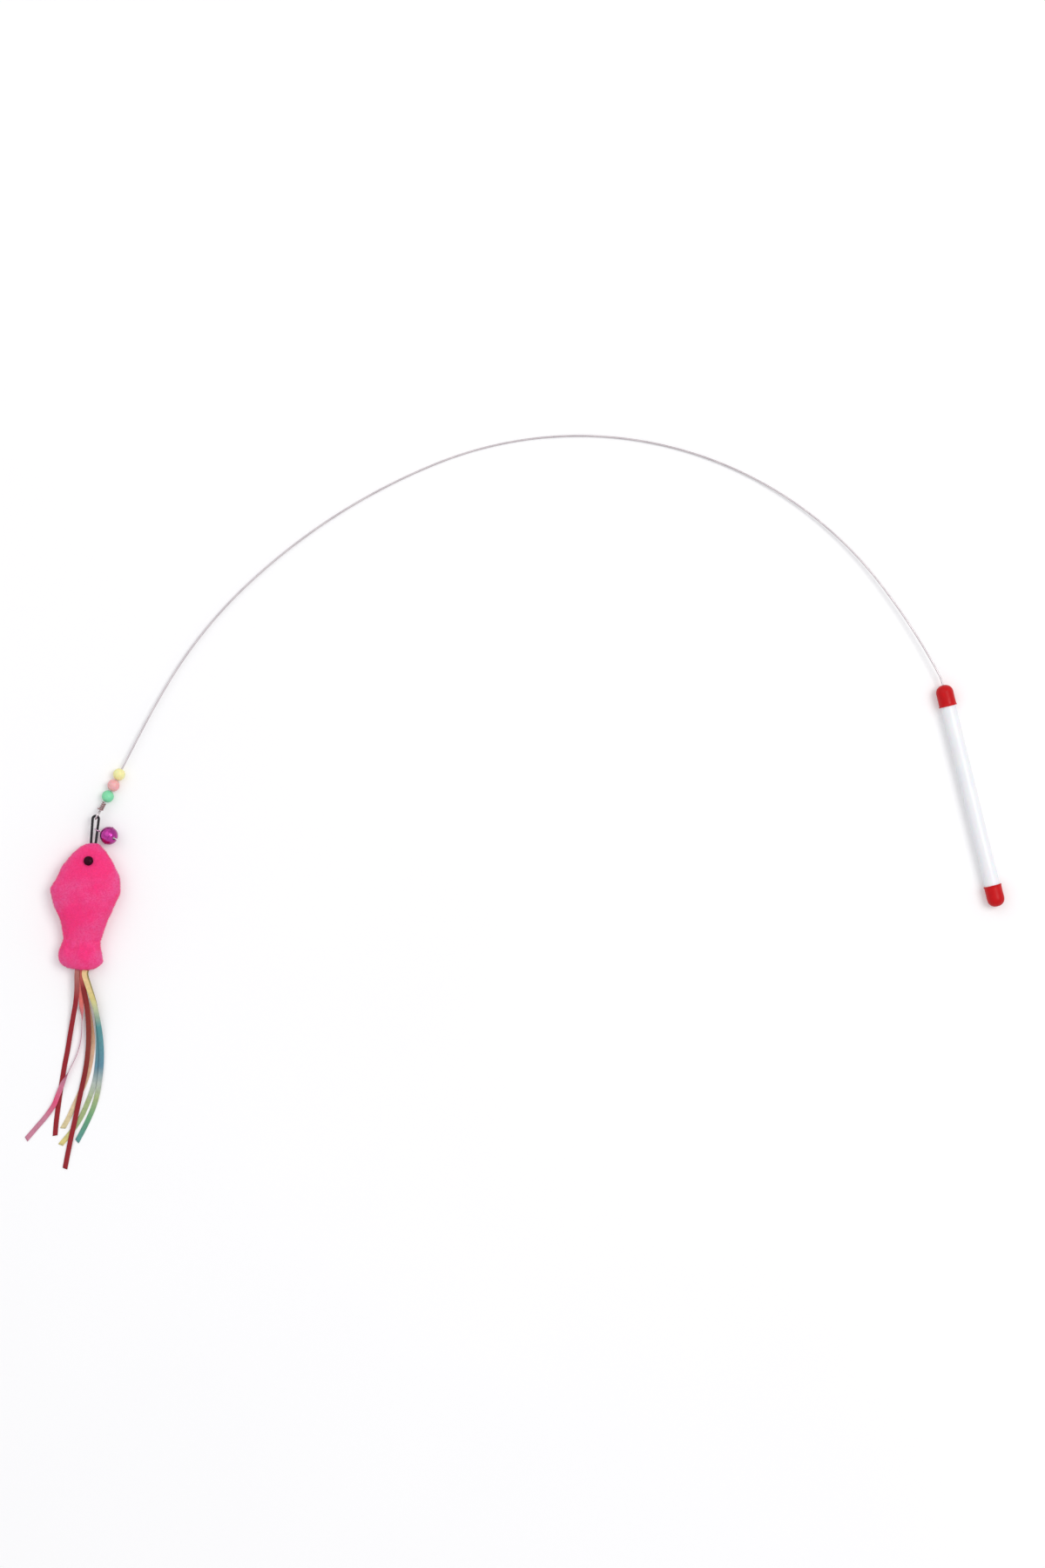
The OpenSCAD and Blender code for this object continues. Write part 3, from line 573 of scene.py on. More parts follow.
def satin(name, stops):
    """Woven ribbon: colours along it, with weft lines."""
    made, tree, shader = surface(
        name, Roughness=0.45, Specular_IOR_Level=0.25, Sheen_Weight=0.08, Sheen_Roughness=0.3
    )
    parts = node(tree, "SeparateXYZ", Vector=coords(tree, "UV"))
    ramp = node(tree, "ValToRGB", Fac=maths(tree, "DIVIDE", parts, RAMP_LEN))
    elements = ramp.color_ramp.elements
    while len(elements) < len(stops):
        elements.new(0.5)
    for element, (at, colour) in zip(elements, stops.items()):
        element.position = at
        element.color = (*colour, 1)
    worn = use(tree, MOTTLE, Colour=ramp, Second_colour=(0.1, 0.05, 0.06, 1), Scale=420, Amount=0.16)
    weft = node(tree, "TexWave", Vector=coords(tree, "UV"), Scale=0.9, Distortion=0.6)
    bump = node(tree, "Bump", Height=weft.outputs["Fac"], Distance=8e-5)
    woven = use(tree, LINES, Along=0.4, Across=30, Depth=4e-5, Normal=bump)
    fill(tree, shader, Base_Color=worn, Normal=woven)
    return made


DARK_RED = (0.33, 0.009, 0.018)
DEEP_RED = (0.26, 0.009, 0.012)
BROWN_RED = (0.26, 0.035, 0.02)
FADED_RED = (0.5, 0.2, 0.17)
CORAL = (0.9, 0.2, 0.17)
HOT_PINK = (0.84, 0.09, 0.22)
DULL_PINK = (0.66, 0.25, 0.36)
WARM_YELLOW = (0.95, 0.7, 0.34)
YELLOW = (0.82, 0.7, 0.26)
PALE_YELLOW = (0.76, 0.68, 0.36)
# Painted shade: olive for yellow in shade.
YELLOW_IN_SHADE = (0.42, 0.36, 0.12)
PALE_GREEN = (0.58, 0.64, 0.38)
GREEN = (0.42, 0.52, 0.24)
DEEP_GREEN = (0.14, 0.4, 0.2)
TEAL = (0.1, 0.34, 0.35)
BLUE = (0.12, 0.29, 0.39)
PALE_BLUE = (0.52, 0.6, 0.54)
CREAM = (0.85, 0.66, 0.42)
TAN = (0.62, 0.33, 0.19)
PEACH = (0.82, 0.52, 0.34)
GREY_GREEN = (0.3, 0.36, 0.27)


# Camera: straight above, turned so that the handle leans as in the photograph
LENS = 85
SENSOR = 36
TILT = -13.9
PIXEL = 0.6 * MM
camera = placed("camera", with_values(bpy.data.cameras.new("camera"), lens=LENS, sensor_width=SENSOR, clip_end=20))
camera.location = (-0.2975, 0.151, 1800 * PIXEL * LENS / SENSOR)
camera.rotation_euler = (0, 0, math.radians(TILT))
SCENE.camera = camera


# Ribbons: to the right, back along the toy, and height over the floor, from the end of the tail
ROUTES = {
    "red_left": [
        (-2.4, 0, 8.2), (-2.4, -4, 8.2), (-1.6, -14, 7.4), (-1.7, -24, 5.7), (-2.7, -35, 3.7),
        (-3.7, -46, 2), (-4.5, -57, 0.9), (-5.5, -67, 0.5), (-6.2, -77, 0.5), (-6.8, -87, 0.5),
        (-7.2, -97, 0.5), (-7.5, -107, 0.5), (-7.4, -116.5, 0.5),
    ],
    "pink": [
        (-0.2, 0, 7.2), (-0.2, -4, 7.2), (1.2, -14, 6.6), (2.4, -25, 4.8), (3.7, -37, 2.7),
        (4, -49, 1.2), (2.2, -59.5, 1), (-1.4, -69.5, 1.6), (-5.2, -79, 1.7), (-7.8, -87.5, 1.7),
        (-10.2, -95.5, 1.6), (-15, -104, 0.8), (-21, -112.5, 0.5), (-27, -121, 0.5),
    ],
    "red_right": [
        (1.6, 0, 8.2), (1.6, -4, 8.2), (3.4, -14, 7.7), (6.4, -25.5, 6.1), (8.4, -38, 4.2),
        (9.5, -50, 2.9), (9.6, -61.5, 2.2), (8.9, -72.5, 1.7), (7.7, -83, 1.7), (6.4, -94.5, 1.7),
        (5.2, -105.5, 1.7), (3.9, -116, 1.6), (2.7, -127, 0.9), (1.6, -138.5, 0.5),
    ],
    "cream": [
        (1, 0, 5.8), (1, -4, 5.8), (3.2, -14, 5.2), (6.6, -25.5, 3.8), (9.9, -37.5, 2.1),
        (12, -49, 0.9), (12.2, -60, 0.5), (11.2, -70, 0.5), (9, -79.5, 0.5), (6, -88, 0.5),
        (3.2, -96, 0.5), (0.6, -103.5, 0.5), (-2.6, -111, 0.5),
    ],
    "rainbow_right": [
        (3, 0, 9.3), (3, -4, 9.3), (6.8, -13, 8.5), (11.2, -23, 6.9), (14.8, -34.5, 4.8),
        (17.4, -45.5, 3.1), (19.1, -56.5, 2), (19.7, -67, 1.6), (19.5, -77, 1.3), (18.7, -86, 0.8),
        (16.9, -95, 0.5), (14.2, -103.5, 0.5), (11.2, -111.5, 0.5), (8, -119, 0.5),
    ],
    "rainbow_left": [
        (3.8, 0, 7.2), (3.8, -4, 7.2), (7.4, -13, 6.1), (11.2, -23, 4.6), (14.2, -34.5, 3),
        (16, -46, 1.6), (16.7, -57, 0.8), (16.8, -66.5, 0.5), (16.2, -76, 0.5), (14.5, -85, 0.5),
        (12, -94, 0.5), (9, -102.5, 0.5), (4, -112, 0.5), (-3, -122.5, 0.5),
    ],
}
RIBBON_W = 3.4
ACROSS = [-1, -0.94, -0.8, -0.55, -0.28, 0, 0.28, 0.55, 0.8, 0.94, 1]


def spline(a, b, c, d, t):
    """Smooth curve from b to c."""
    return (b * 2 + (c - a) * t + (a * 2 - b * 5 + c * 4 - d) * t * t + (b * 3 - a - c * 3 + d) * t**3) / 2


def smooth_rows(rows, steps):
    """Rows of numbers with others between them, on smooth curves."""
    n = len(rows) - 1
    return [
        tuple(spline(*c, k / steps) for c in zip(rows[max(i - 1, 0)], rows[i], rows[i + 1], rows[min(i + 2, n)]))
        for i in range(n)
        for k in range(steps)
    ] + [rows[n]]


def length_of(path):
    return sum((b - a).length for a, b in zip(path, path[1:]))


def edge_on(share):
    """The pink ribbon stands on its edge in the middle of its length."""
    rise = min(1, max(0, (share - 0.16) / 0.14)) * min(1, max(0, (0.68 - share) / 0.12))
    return 85 * (3 - 2 * rise) * rise * rise


def ribbon(name, stops, arch, slant, turn=lambda share: 0):
    """Woven ribbon with a slight arch across it, thin edges and a slanting cut end."""
    half = RIBBON_W / 2
    local = [Vector(p) for p in smooth_rows(ROUTES[name], 6)]
    total, gone = length_of(local), 0.0
    for before, p in zip([local[0], *local], local):
        gone += (p - before).length
        p.z = max(p.z, half * abs(sin(turn(gone / total))) + 0.2)
    path = [AT_TAIL_END @ p for p in local]
    last = len(path) - 1
    run = [0.0]
    for a, b in zip(path, path[1:]):
        run.append(run[-1] + (b - a).length)

    def section(i):
        lift = arch * (0.6 + 0.4 * math.sin(run[i] / 17 + slant)) * min(1, run[i] / 12 + 0.15)
        wave = 0.04 * math.sin(run[i] / 5.1 + 2 * slant)
        top = [(half * s, lift * (0.5 - s * s) + wave * s + 0.1) for s in ACROSS]
        low = [(half * s * 0.995, lift * (0.5 - s * s) + wave * s - 0.06) for s in reversed(ACROSS)]
        return top + low

    size = 2 * len(ACROSS)
    points, faces, uvs = [], [], []
    for i, (side, above, ahead) in enumerate(frames_along(path, vec(0, 0, 1))):
        turn_here = Matrix.Rotation(math.radians(turn(run[i] / run[last])), 3, ahead)
        for a, b in section(i):
            cut = slant * a * 0.5 * max(0, 1 - (run[last] - run[i]) / 2)
            points.append(path[i] + turn_here @ (side * a + above * b) + ahead * cut)
    v = [(s + 1) / 2 for s in (*ACROSS, *reversed(ACROSS))]
    for i in range(last):
        for j in range(size):
            k = (j + 1) % size
            a, b = i * size, (i + 1) * size
            faces.append((a + j, b + j, b + k, a + k))
            uvs.append([(run[i], v[j]), (run[i + 1], v[j]), (run[i + 1], v[k]), (run[i], v[k])])
    for base, at in ((0, 0), (last * size, run[last])):
        for j in range(len(ACROSS) - 1):
            a, b = base + j, base + size - 1 - j
            faces.append((a, a + 1, b - 1, b) if base else (b, b - 1, a + 1, a))
            uvs.append([(at, v[j])] * 4)
    obj = face_out(new_piece(f"ribbon_{name}_satin", points, faces, uvs))
    slot = name.split("_")[0] + "_ribbon"
    finish_piece(obj, "fish", slot, satin(name + "_satin", stops), "ribbon_" + name)
    line = [p * MM for p in path]
    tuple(line[0])
    length_of(line)


ribbon("red_left", {0: FADED_RED, 0.17: DARK_RED, 0.9: DARK_RED, 1: DEEP_RED}, 0.34, 0.5)
ribbon(
    "pink", {0: CORAL, 0.18: CORAL, 0.32: DULL_PINK, 0.62: DULL_PINK, 0.74: HOT_PINK, 0.84: DULL_PINK},
    0.3, -0.7, edge_on,
)
ribbon(
    "red_right", {0: CORAL, 0.1: DEEP_RED, 0.4: BROWN_RED, 0.6: DEEP_RED, 0.8: DARK_RED, 1: DARK_RED}, 0.36, -0.4
)
ribbon(
    "cream", {0: TAN, 0.34: TAN, 0.44: PEACH, 0.6: PEACH, 0.76: CREAM, 0.92: PALE_YELLOW, 1: GREY_GREEN}, 0.3, 0.9
)
ribbon(
    "rainbow_right",
    {
        0: WARM_YELLOW, 0.08: WARM_YELLOW, 0.16: YELLOW, 0.22: PALE_GREEN, 0.32: TEAL, 0.53: BLUE,
        0.62: PALE_BLUE, 0.7: GREEN, 0.82: DEEP_GREEN, 0.97: TEAL,
    },
    0.36, -0.8,
)
# Painted shade: the first stretch of this ribbon, under the other rainbow ribbon, is olive for its yellow in shade.
ribbon(
    "rainbow_left",
    {0: YELLOW_IN_SHADE, 0.22: YELLOW_IN_SHADE, 0.32: TEAL, 0.53: BLUE, 0.62: PALE_BLUE, 0.72: GREEN, 0.86: GREEN, 0.96: YELLOW},
    0.32, 0.6,
)


# Handle
AT_REAR = moved(0, -4, 0) @ turned(-90, "X")


def rounded_tube():
    """Open tube with small rounds at its cut ends."""
    out, inner, length, r = 5.25, 4.05, 146, 0.2
    profile = (
        arc(out - r, r, r, r, 270, 360, 4)
        + [(out, length * k / 12) for k in range(1, 12)]
        + arc(out - r, length - r, r, r, 0, 90, 4)
        + arc(inner + r, length - r, r, r, 90, 180, 4)
        + [(inner, length * k / 4) for k in (3, 2, 1)]
        + arc(inner + r, r, r, r, 180, 270, 4)
    )
    return lathe("handle_tube_skin", profile, AT_REAR, 72, closed=True)


finish_piece(rounded_tube(), "wand", "white_plastic", TUBE_PLASTIC, "handle_tube")


def cap(name, place, hole):
    """Soft cap: rolled lip, slight draft, full round where the band turns into the dome."""
    r, crown, top, lip = 6.0, 9.5, 15.0, 0.28
    tip = [(hole + 0.12, top - 0.01), (hole, 14.9), (hole, 14.4)] if hole else [(0, top)]
    dome = [
        (r * cos(a) ** 0.92, crown + 5.5 * sin(a) ** 0.96)
        for a in [90 * i / 20 for i in range(20)]
        if r * cos(a) ** 0.92 > hole + 0.2
    ]
    inner = [(4.05 * cos(a), crown + 4.8 * sin(a)) for a in range(80, -1, -10)]
    profile = (
        [(5.32, 0.35)]
        + arc(5.6, lip, 0.26, lip, 180, 270, 4)
        + arc(6.02, lip, lip, lip, 270, 360, 5)
        + arc(6.02, 0.62, lip, 0.3, 0, 60, 4)
        + [(6.08, 1.15), (6.02, 1.5), (r, 2.1), (5.98, 5), (r, 8.2)]
        + dome
        + tip
        + [(hole + 0.05 if hole else 0, 14.3)]
        + inner
        + [(5.32, crown), (5.32, 5)]
    )
    return lathe(name, profile, place, 72, closed=True)


for end, y, deg, hole in (("front", 132.5, -90, 0.8), ("rear", 5.5, 90, 0)):
    obj = cap(end + "_cap_skin", moved(0, y, 0) @ turned(deg, "X"), hole)
    finish_piece(obj, "wand", "red_plastic", CAP_PLASTIC, end + "_cap")


# Spring wire, its eye and the wrap that closes it
def wire_line():
    sag_r = SAG_RUN / math.tan(math.radians(WIRE_SAG / 2))
    points = [vec(0, y, 0) for y in (WIRE_ROOT, 120, 130, 140)]
    for i in range(6):
        a = WIRE_SAG * i / 6
        bent = vec(0, WIRE_START + sag_r * sin(a), -sag_r * (1 - cos(a)))
        points.append(turned(-WIRE_DIP, "Y") @ bent)
    points += [AT_PLANE @ p for p in BOW_POINTS]
    base = at_tip(0)
    points += [base @ vec(u, 0, 0) for u in (10, 20, 30, 40, 50, 56)]
    for i in range(41):
        a = -90 + (180 + EYE_TURN) * i / 40
        points.append(base @ vec(EYE_START + EYE_R * cos(a), 0, EYE_R + EYE_R * sin(a)))
    join = 90 + EYE_TURN
    centre = vec(EYE_START + (EYE_R + LAY_R) * cos(join), 0, EYE_R + (EYE_R + LAY_R) * sin(join))
    for i in range(1, 15):
        a = join + 180 - EYE_TURN * i / 14
        points.append(base @ (centre + vec(LAY_R * cos(a), 0, LAY_R * sin(a))))
    points.append(base @ vec(LAY_END, 0, LAY_RISE))
    return points


wire = tube("spring_wire_drawn", [wire_line()], WIRE_R, 14, SPRING_STEEL)
finish_piece(wire, "wand", "wire_steel", SPRING_STEEL, "spring_wire")
WOUND_R = 1.197
TURN_STEPS = 48


def wrap_line():
    """Turns that close on the wire and its end laid back, and the cut end that stands out."""
    base = at_tip(0)
    points = []
    for i in range(WRAP_TURNS * TURN_STEPS + 1):
        a = 360 * i / TURN_STEPS
        x, rise = WRAP_START + WRAP_PITCH * i / TURN_STEPS, LAY_RISE * (1 + cos(a)) / 2
        points.append(base @ vec(x, -WOUND_R * sin(a), WOUND_R * cos(a) + rise))
    for out in ((0, -1.1, 0), (0.15, -1.05, -0.1)):
        points.append(points[-1] + base.to_3x3() @ Vector(out))
    return points


# The wrap's darker brown colour is painted shade.
wrap = tube("tip_wrap_wound", [wrap_line()], WRAP_R, 12, WRAP_PAINTED_SHADE)
finish_piece(wrap, "wand", "wrap_wire", WRAP_PAINTED_SHADE, "tip_wrap")


# Beads: flat ends, eased bore, a faint moulding line round the middle
outer = [(BEAD_R * cos(a), BEAD_R * sin(a)) for a in range(-70, 71, 5)]
BEAD_PROFILE = (
    [(0.72, -3.3), (0.8, -3.72)]
    + arc(1.15, -3.72, 0.35, 0.36, 180, 250, 4)
    + [(r + (0.03 if abs(z) < 0.05 else 0), z) for r, z in outer]
    + arc(1.15, 3.72, 0.35, 0.36, 110, 180, 4)
    + [(0.8, 3.72), (0.72, 3.3)]
)
BEADS = {
    "yellow": ((0.93, 0.87, 0.42), (0.87, 0.8, 0.34)),
    "pink": ((0.88, 0.45, 0.45), (0.8, 0.37, 0.38)),
    "green": ((0.24, 0.74, 0.42), (0.18, 0.67, 0.35)),
}
for at, (dye, colours) in zip(BEAD_AT, BEADS.items()):
    name = dye + "_bead"
    plastic = painted(
        name, *colours, 300, 0.5, (1800, 1e-5, 0.34, 0.5), Subsurface_Weight=0.25, Subsurface_Scale=0.001
    )
    obj = lathe(f"bead_{dye}_moulded", BEAD_PROFILE, at_tip(at) @ turned(90, "Y"), 64, closed=True)
    finish_piece(obj, name, name, plastic, "bead_" + dye)


# Elastic loop with a braided cover, and the whipped knot at its end
def loop_line():
    """Up one leg, round the bend in the eye and down the other leg."""
    top_y = -LOOP_R * sin(LEG_LEAN)
    start, end = (vec(x, -LOOP_LEN, 0) for x in (-LEG_END, LEG_END))
    points = [start.lerp(vec(-LEG_TOP, top_y, 0), k / 24) for k in range(24)]
    for k in range(25):
        a = 180 + LEG_LEAN - (180 + 2 * LEG_LEAN) * k / 24
        points.append(vec(LOOP_R * cos(a), LOOP_R * sin(a), 0))
    points += [vec(LEG_TOP, top_y, 0).lerp(end, k / 24) for k in range(1, 25)]
    return [AT_LOOP @ p for p in points]


def even(path, step):
    """The same line with points at even distances."""
    total = length_of(path)
    n = max(2, round(total / step))
    made, run, k = [path[0]], 0.0, 0
    for i in range(1, n):
        want = total * i / n
        while run + (path[k + 1] - path[k]).length < want:
            run += (path[k + 1] - path[k]).length
            k += 1
        made.append(path[k].lerp(path[k + 1], (want - run) / (path[k + 1] - path[k]).length))
    return made + [path[-1]]


def braid(name, path, radius, strands, pitch, thick):
    """Strands wound both ways round a core, over and under each other."""
    line = even(path, 0.22)
    frames = frames_along(line, vec(0, 0, 1))
    step = length_of(line) / (len(line) - 1)
    wound = []
    for way in (1, -1):
        for s in range(strands):
            made = []
            for i, (p, (side, above, ahead)) in enumerate(zip(line, frames)):
                a = 360 * (s / strands + way * i * step / pitch)
                weave = sin(a * strands + 90 * way) * 0.35 * thick
                r = radius - thick + weave
                made.append(p + side * r * cos(a) + above * r * sin(a))
            wound.append(made)
    core = tube(name + "_core", [even(path, 0.7)], radius - 1.6 * thick, 10, ELASTIC_FIBRE)
    return joined(name, [core, tube(name + "_strands", wound, thick, 5, ELASTIC_FIBRE)])


loop = braid("elastic_loop_braided", loop_line(), ELASTIC_R, 7, 5.2, 0.16)


def whipping(name, start, end, radius, thick, turns):
    """Thread wound tightly round the knotted end."""
    steps = 16
    axis = end - start
    side = vec(0, 0, 1)
    other = axis.normalized().cross(side)
    line = []
    for i in range(turns * steps + 1):
        a = 360 * i / steps
        line.append(start + axis * (i / (turns * steps)) + side * radius * cos(a) + other * radius * sin(a))
    core = [start.lerp(end, k / 6) for k in range(7)]
    inside = tube(name + "_core", [core], radius - 0.1, 16, ELASTIC_FIBRE)
    return joined(name, [inside, tube(name + "_coil", [line], thick, 6, ELASTIC_FIBRE)])


knot_ends = [AT_LOOP @ vec(x, -LOOP_LEN, 0) for x in (-2.45, 2.45)]
knot = whipping("elastic_knot", *knot_ends, 0.88, 0.2, 12)
finish_piece(loop, "loop", "black_elastic", ELASTIC_FIBRE, "elastic_loop")
finish_piece(knot, "loop", "black_elastic", ELASTIC_FIBRE)


# Bell: two pressed cups with a rolled seam, sound slots in the lower one, wire hanger, pellet
def cup(name, upper):
    """Half shell, outside first, from the pole to the rolled seam and back inside."""
    outer = [(BELL_R * sin(a), BELL_R * cos(a)) for a in [4 + 80 * i / 26 for i in range(27)]]
    seam = [(6.33, 0.52), (6.5, 0.5), (6.59, 0.38), (6.6, 0.2), (6.55, 0.03), (6.4, 0.0), (6.0, 0.0), (5.9, 0.05)]
    inner = [(BELL_INSIDE * sin(a), BELL_INSIDE * cos(a)) for a in [88 - 84 * i / 20 for i in range(21)]]
    profile = outer + seam + inner
    if upper:
        return lathe(name, profile, AT_BELL, 96, closed=True)
    profile = [(0, BELL_R), *profile, (0, BELL_INSIDE)]
    return lathe(name, [(r, -z) for r, z in profile], AT_BELL, 96)


def box_piece(name, place, low, high):
    xs, ys, zs = zip(low, high)
    points = [place @ vec(x, y, z) for x in xs for y in ys for z in zs]
    faces = [(0, 1, 3, 2), (4, 6, 7, 5), (0, 4, 5, 1), (2, 3, 7, 6), (0, 2, 6, 4), (1, 5, 7, 3)]
    return face_out(new_piece(name, points, faces, smooth=False))


def cut_by(obj, cutters, name, place):
    """The piece less the cutters, cut at its own place and in millimetres, where it's most exact."""
    home = Matrix.Scale(MM, 4) @ place
    for piece in [obj, *cutters]:
        piece.data.transform(home.inverted())
    for cutter in cutters:
        modifier(obj, "BOOLEAN", object=cutter, operation="DIFFERENCE", solver="MANIFOLD")
    made = baked(name, obj)
    remove(*cutters)
    made.data.transform(home)
    return made


def smooth_by_angle(obj, deg):
    """Smooth shading with sharp edges where faces meet steeply."""
    bm = bmesh.new()
    bm.from_mesh(obj.data)
    for edge in bm.edges:
        edge.smooth = len(edge.link_faces) == 2 and edge.calc_face_angle(0) < math.radians(deg)
    for face in bm.faces:
        face.smooth = True
    bm.to_mesh(obj.data)
    bm.free()
    return obj


reach = BELL_R * sin(52)
cutters = []
for turn in (0, 90):
    low = -8 - turn / 450
    cutters.append(box_piece("slot", AT_BELL @ turned(turn, "Z"), (-reach, -0.6, low), (reach, 0.6, low + 7)))
for turn in (0, 90, 180, 270):
    end = AT_BELL @ turned(turn, "Z") @ turned(128, "Y")
    cutters.append(lathe("slot_end", [(0, 3), (1.1, 3), (1.1, 8), (0, 8)], end, 32))
upper = cup("bell_upper_pressed", True)
lower = cut_by(cup("bell_lower_blank", False), cutters, "bell_lower_pressed", AT_BELL)
for obj, node_name in ((upper, "bell_upper_cup"), (lower, "bell_lower_cup")):
    finish_piece(smooth_by_angle(obj, 40), "bell", "purple_metal", BELL_LACQUER, node_name)


def hanger():
    """Ring of wire whose two ends twist once and go into the crown."""
    ring_line = [AT_BELL @ vec(1.8 * cos(a), 0, HANG_LEN + 1.8 * sin(a)) for a in range(-78, 259, 8)]
    stem_line = [AT_BELL @ vec(0, 0, z) for z in (5.2, 6.0, 6.6, 7.2)]
    ring = tube("hanger_ring", [ring_line], 0.4, 12, BRIGHT_WIRE)
    stem = tube("hanger_stem", [stem_line], 0.39, 12, BRIGHT_WIRE)
    head = lathe("hanger_head", [(0, 5.1), (1.1, 5.15), (1.2, 5.3), (1.1, 5.46), (0, 5.5)], AT_BELL, 32)
    return joined("bell_hanger_wire", [ring, stem, head])


finish_piece(hanger(), "bell", "bright_wire", BRIGHT_WIRE, "bell_hanger")
for node_name, material, deg in (("bell_pellet", PELLET_STEEL, 60), ("wire_plug", PLUG_PLASTIC, 40)):
    coat(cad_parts[node_name], material)
    smooth_by_angle(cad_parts[node_name], deg)


# Fish: place behind the nose, half width left and right, height over the seam, depth under it
FISH = [
    (0, 1.4, 1.4, 1.1, 0.8), (1.2, 4.2, 4.2, 3.1, 2), (3.6, 7.8, 7.5, 5.3, 3), (7, 11.5, 10.6, 7.2, 3.6),
    (12, 15.3, 14.6, 9, 4.1), (18, 19.3, 18.1, 10.4, 5.1), (25, 22, 21.2, 11.5, 6.8), (32, 24.2, 21.8, 12, 7.5),
    (38, 25.2, 21.2, 12, 7.5), (44, 24.1, 18.9, 11.5, 7.5), (50, 22.1, 17, 10.7, 7.5), (56, 18.6, 15.1, 9.5, 7.3),
    (62, 15.9, 13.4, 8.3, 6.9), (68, 14.4, 12.4, 7.4, 6.7), (72.2, 15.3, 12.5, 8.2, 7), (76.4, 16.1, 13.6, 8.9, 7.4),
    (80.2, 16.4, 14.4, 9, 7.5), (83.8, 15.7, 14.1, 8.4, 7), (86.5, 14.1, 12.3, 7.4, 6.1), (88.2, 11.3, 9.4, 6.5, 5.2),
    (89, 8.5, 7, 5.5, 4.6),
]
ROWS = smooth_rows(FISH, 2)
ROUND = 0.55
SIDES = 28
STEEP = NOD + LOOP_RISE + 1
IN_BODY = AT_BODY.inverted()


def fish_form(name, inset):
    """Closed form from the sections, a little smaller by inset."""
    points, faces = [], []
    length = ROWS[-1][0]
    for s, left, right, high, low in ROWS:
        y = -inset - s * (length - 2 * inset) / length
        for j in range(SIDES):
            a = 360 * j / SIDES
            c, up = cos(a), sin(a)
            width = left if c > 0 else right
            width = max(width - inset, 0.5 * width)
            tall = high if up >= 0 else low
            tall = max(tall - inset, 0.5 * tall)
            z = tall * max(1 - c * c, 0) ** ROUND
            points.append(AT_BODY @ vec(-c * width, y, z if up >= 0 else -z))
    n = len(ROWS) - 1
    for i in range(n):
        for j in range(SIDES):
            k = (j + 1) % SIDES
            faces.append((i * SIDES + j, i * SIDES + k, (i + 1) * SIDES + k, (i + 1) * SIDES + j))
    faces.append(tuple(range(SIDES)))
    faces.append(tuple(n * SIDES + j for j in reversed(range(SIDES))))
    return face_out(new_piece(name, points, faces))


def in_body(v):
    """A mesh point in millimetres, in the fish's own frame."""
    return IN_BODY @ (Vector(v) / MM)


def inflate(obj, most):
    """Stuffed shape from a cloth run, in which no point travels more than so many millimetres."""
    start = [v.co.copy() for v in obj.data.vertices]
    cloth = obj.modifiers.new("cloth", "CLOTH")
    with_values(
        cloth.settings, quality=8, mass=0.15, tension_stiffness=12, compression_stiffness=12, shear_stiffness=5,
        bending_stiffness=0.3, use_pressure=True, uniform_pressure_force=4, shrink_min=-0.06,
    )
    cloth.settings.effector_weights.gravity = 0
    with_values(cloth.collision_settings, use_collision=False, use_self_collision=False)
    for f in range(1, 21):
        SCENE.frame_set(f)
    made = baked(obj.name + "_full", obj)
    for v, was in zip(made.data.vertices, start):
        move = v.co - was
        if move.length > most * MM:
            v.co = was + move.normalized() * most * MM
    SCENE.frame_set(1)
    return made


def hill(x, middle, width):
    """Smooth rise from 0 to 1 and back, round a middle."""
    return math.exp(-(((x - middle) / width) ** 2))


def dent(p, x, y, size, depth):
    """How far a round dent at (x, y) sinks the cloth at p."""
    far = math.hypot(p.x - x, p.y - y) / size
    return depth * math.exp(-far * far)


def sculpt_fish(obj):
    """Pinched seam, gathered neck, dents by the eyes and the tail, and a flat underside."""
    for v in obj.data.vertices:
        p = in_body(v.co)
        s = -p.y
        row = min(ROWS, key=lambda r: abs(r[0] - s))
        side = -p.x / row[1] if p.x < 0 else p.x / row[2]
        out = vec(p.x, 0, p.z).normalized()
        seam = hill(p.z, 0, 0.8) * 0.3 * min(1, max(0, abs(side) - 0.5) * 3)
        gather = hill(s, 68.5, 1.1) * (0.5 + 0.2 * math.sin(p.x * 1.9 + p.z))
        folds = 0.28 * hill(s, 72.5, 4.5) * math.sin(p.x * 1.25 + 0.6)
        p -= out * (seam + gather + folds)
        p.x *= 1 + 0.055 * hill(s, 36, 5) if p.x < 0 else 1
        top = 1 if p.z > 0 else -0.6
        sink = dent(p, -1, -14, 4.2, 0.9) + dent(p, -7.3, -76, 4, 1.3) + dent(p, 6.8, -75.5, 3.6, 1.2)
        sink += dent(p, -9, -44, 12, 0.7) + dent(p, 7, -30, 9, 0.5)
        p.z -= sink * top if abs(p.z) > 1 else 0
        p += out * (noise.noise(p * 0.11) * 0.55 + noise.noise(p * 0.35) * 0.22)
        p.z = max(p.z, -BELLY + 0.04)
        v.co = (AT_BODY @ p) * MM
    return obj


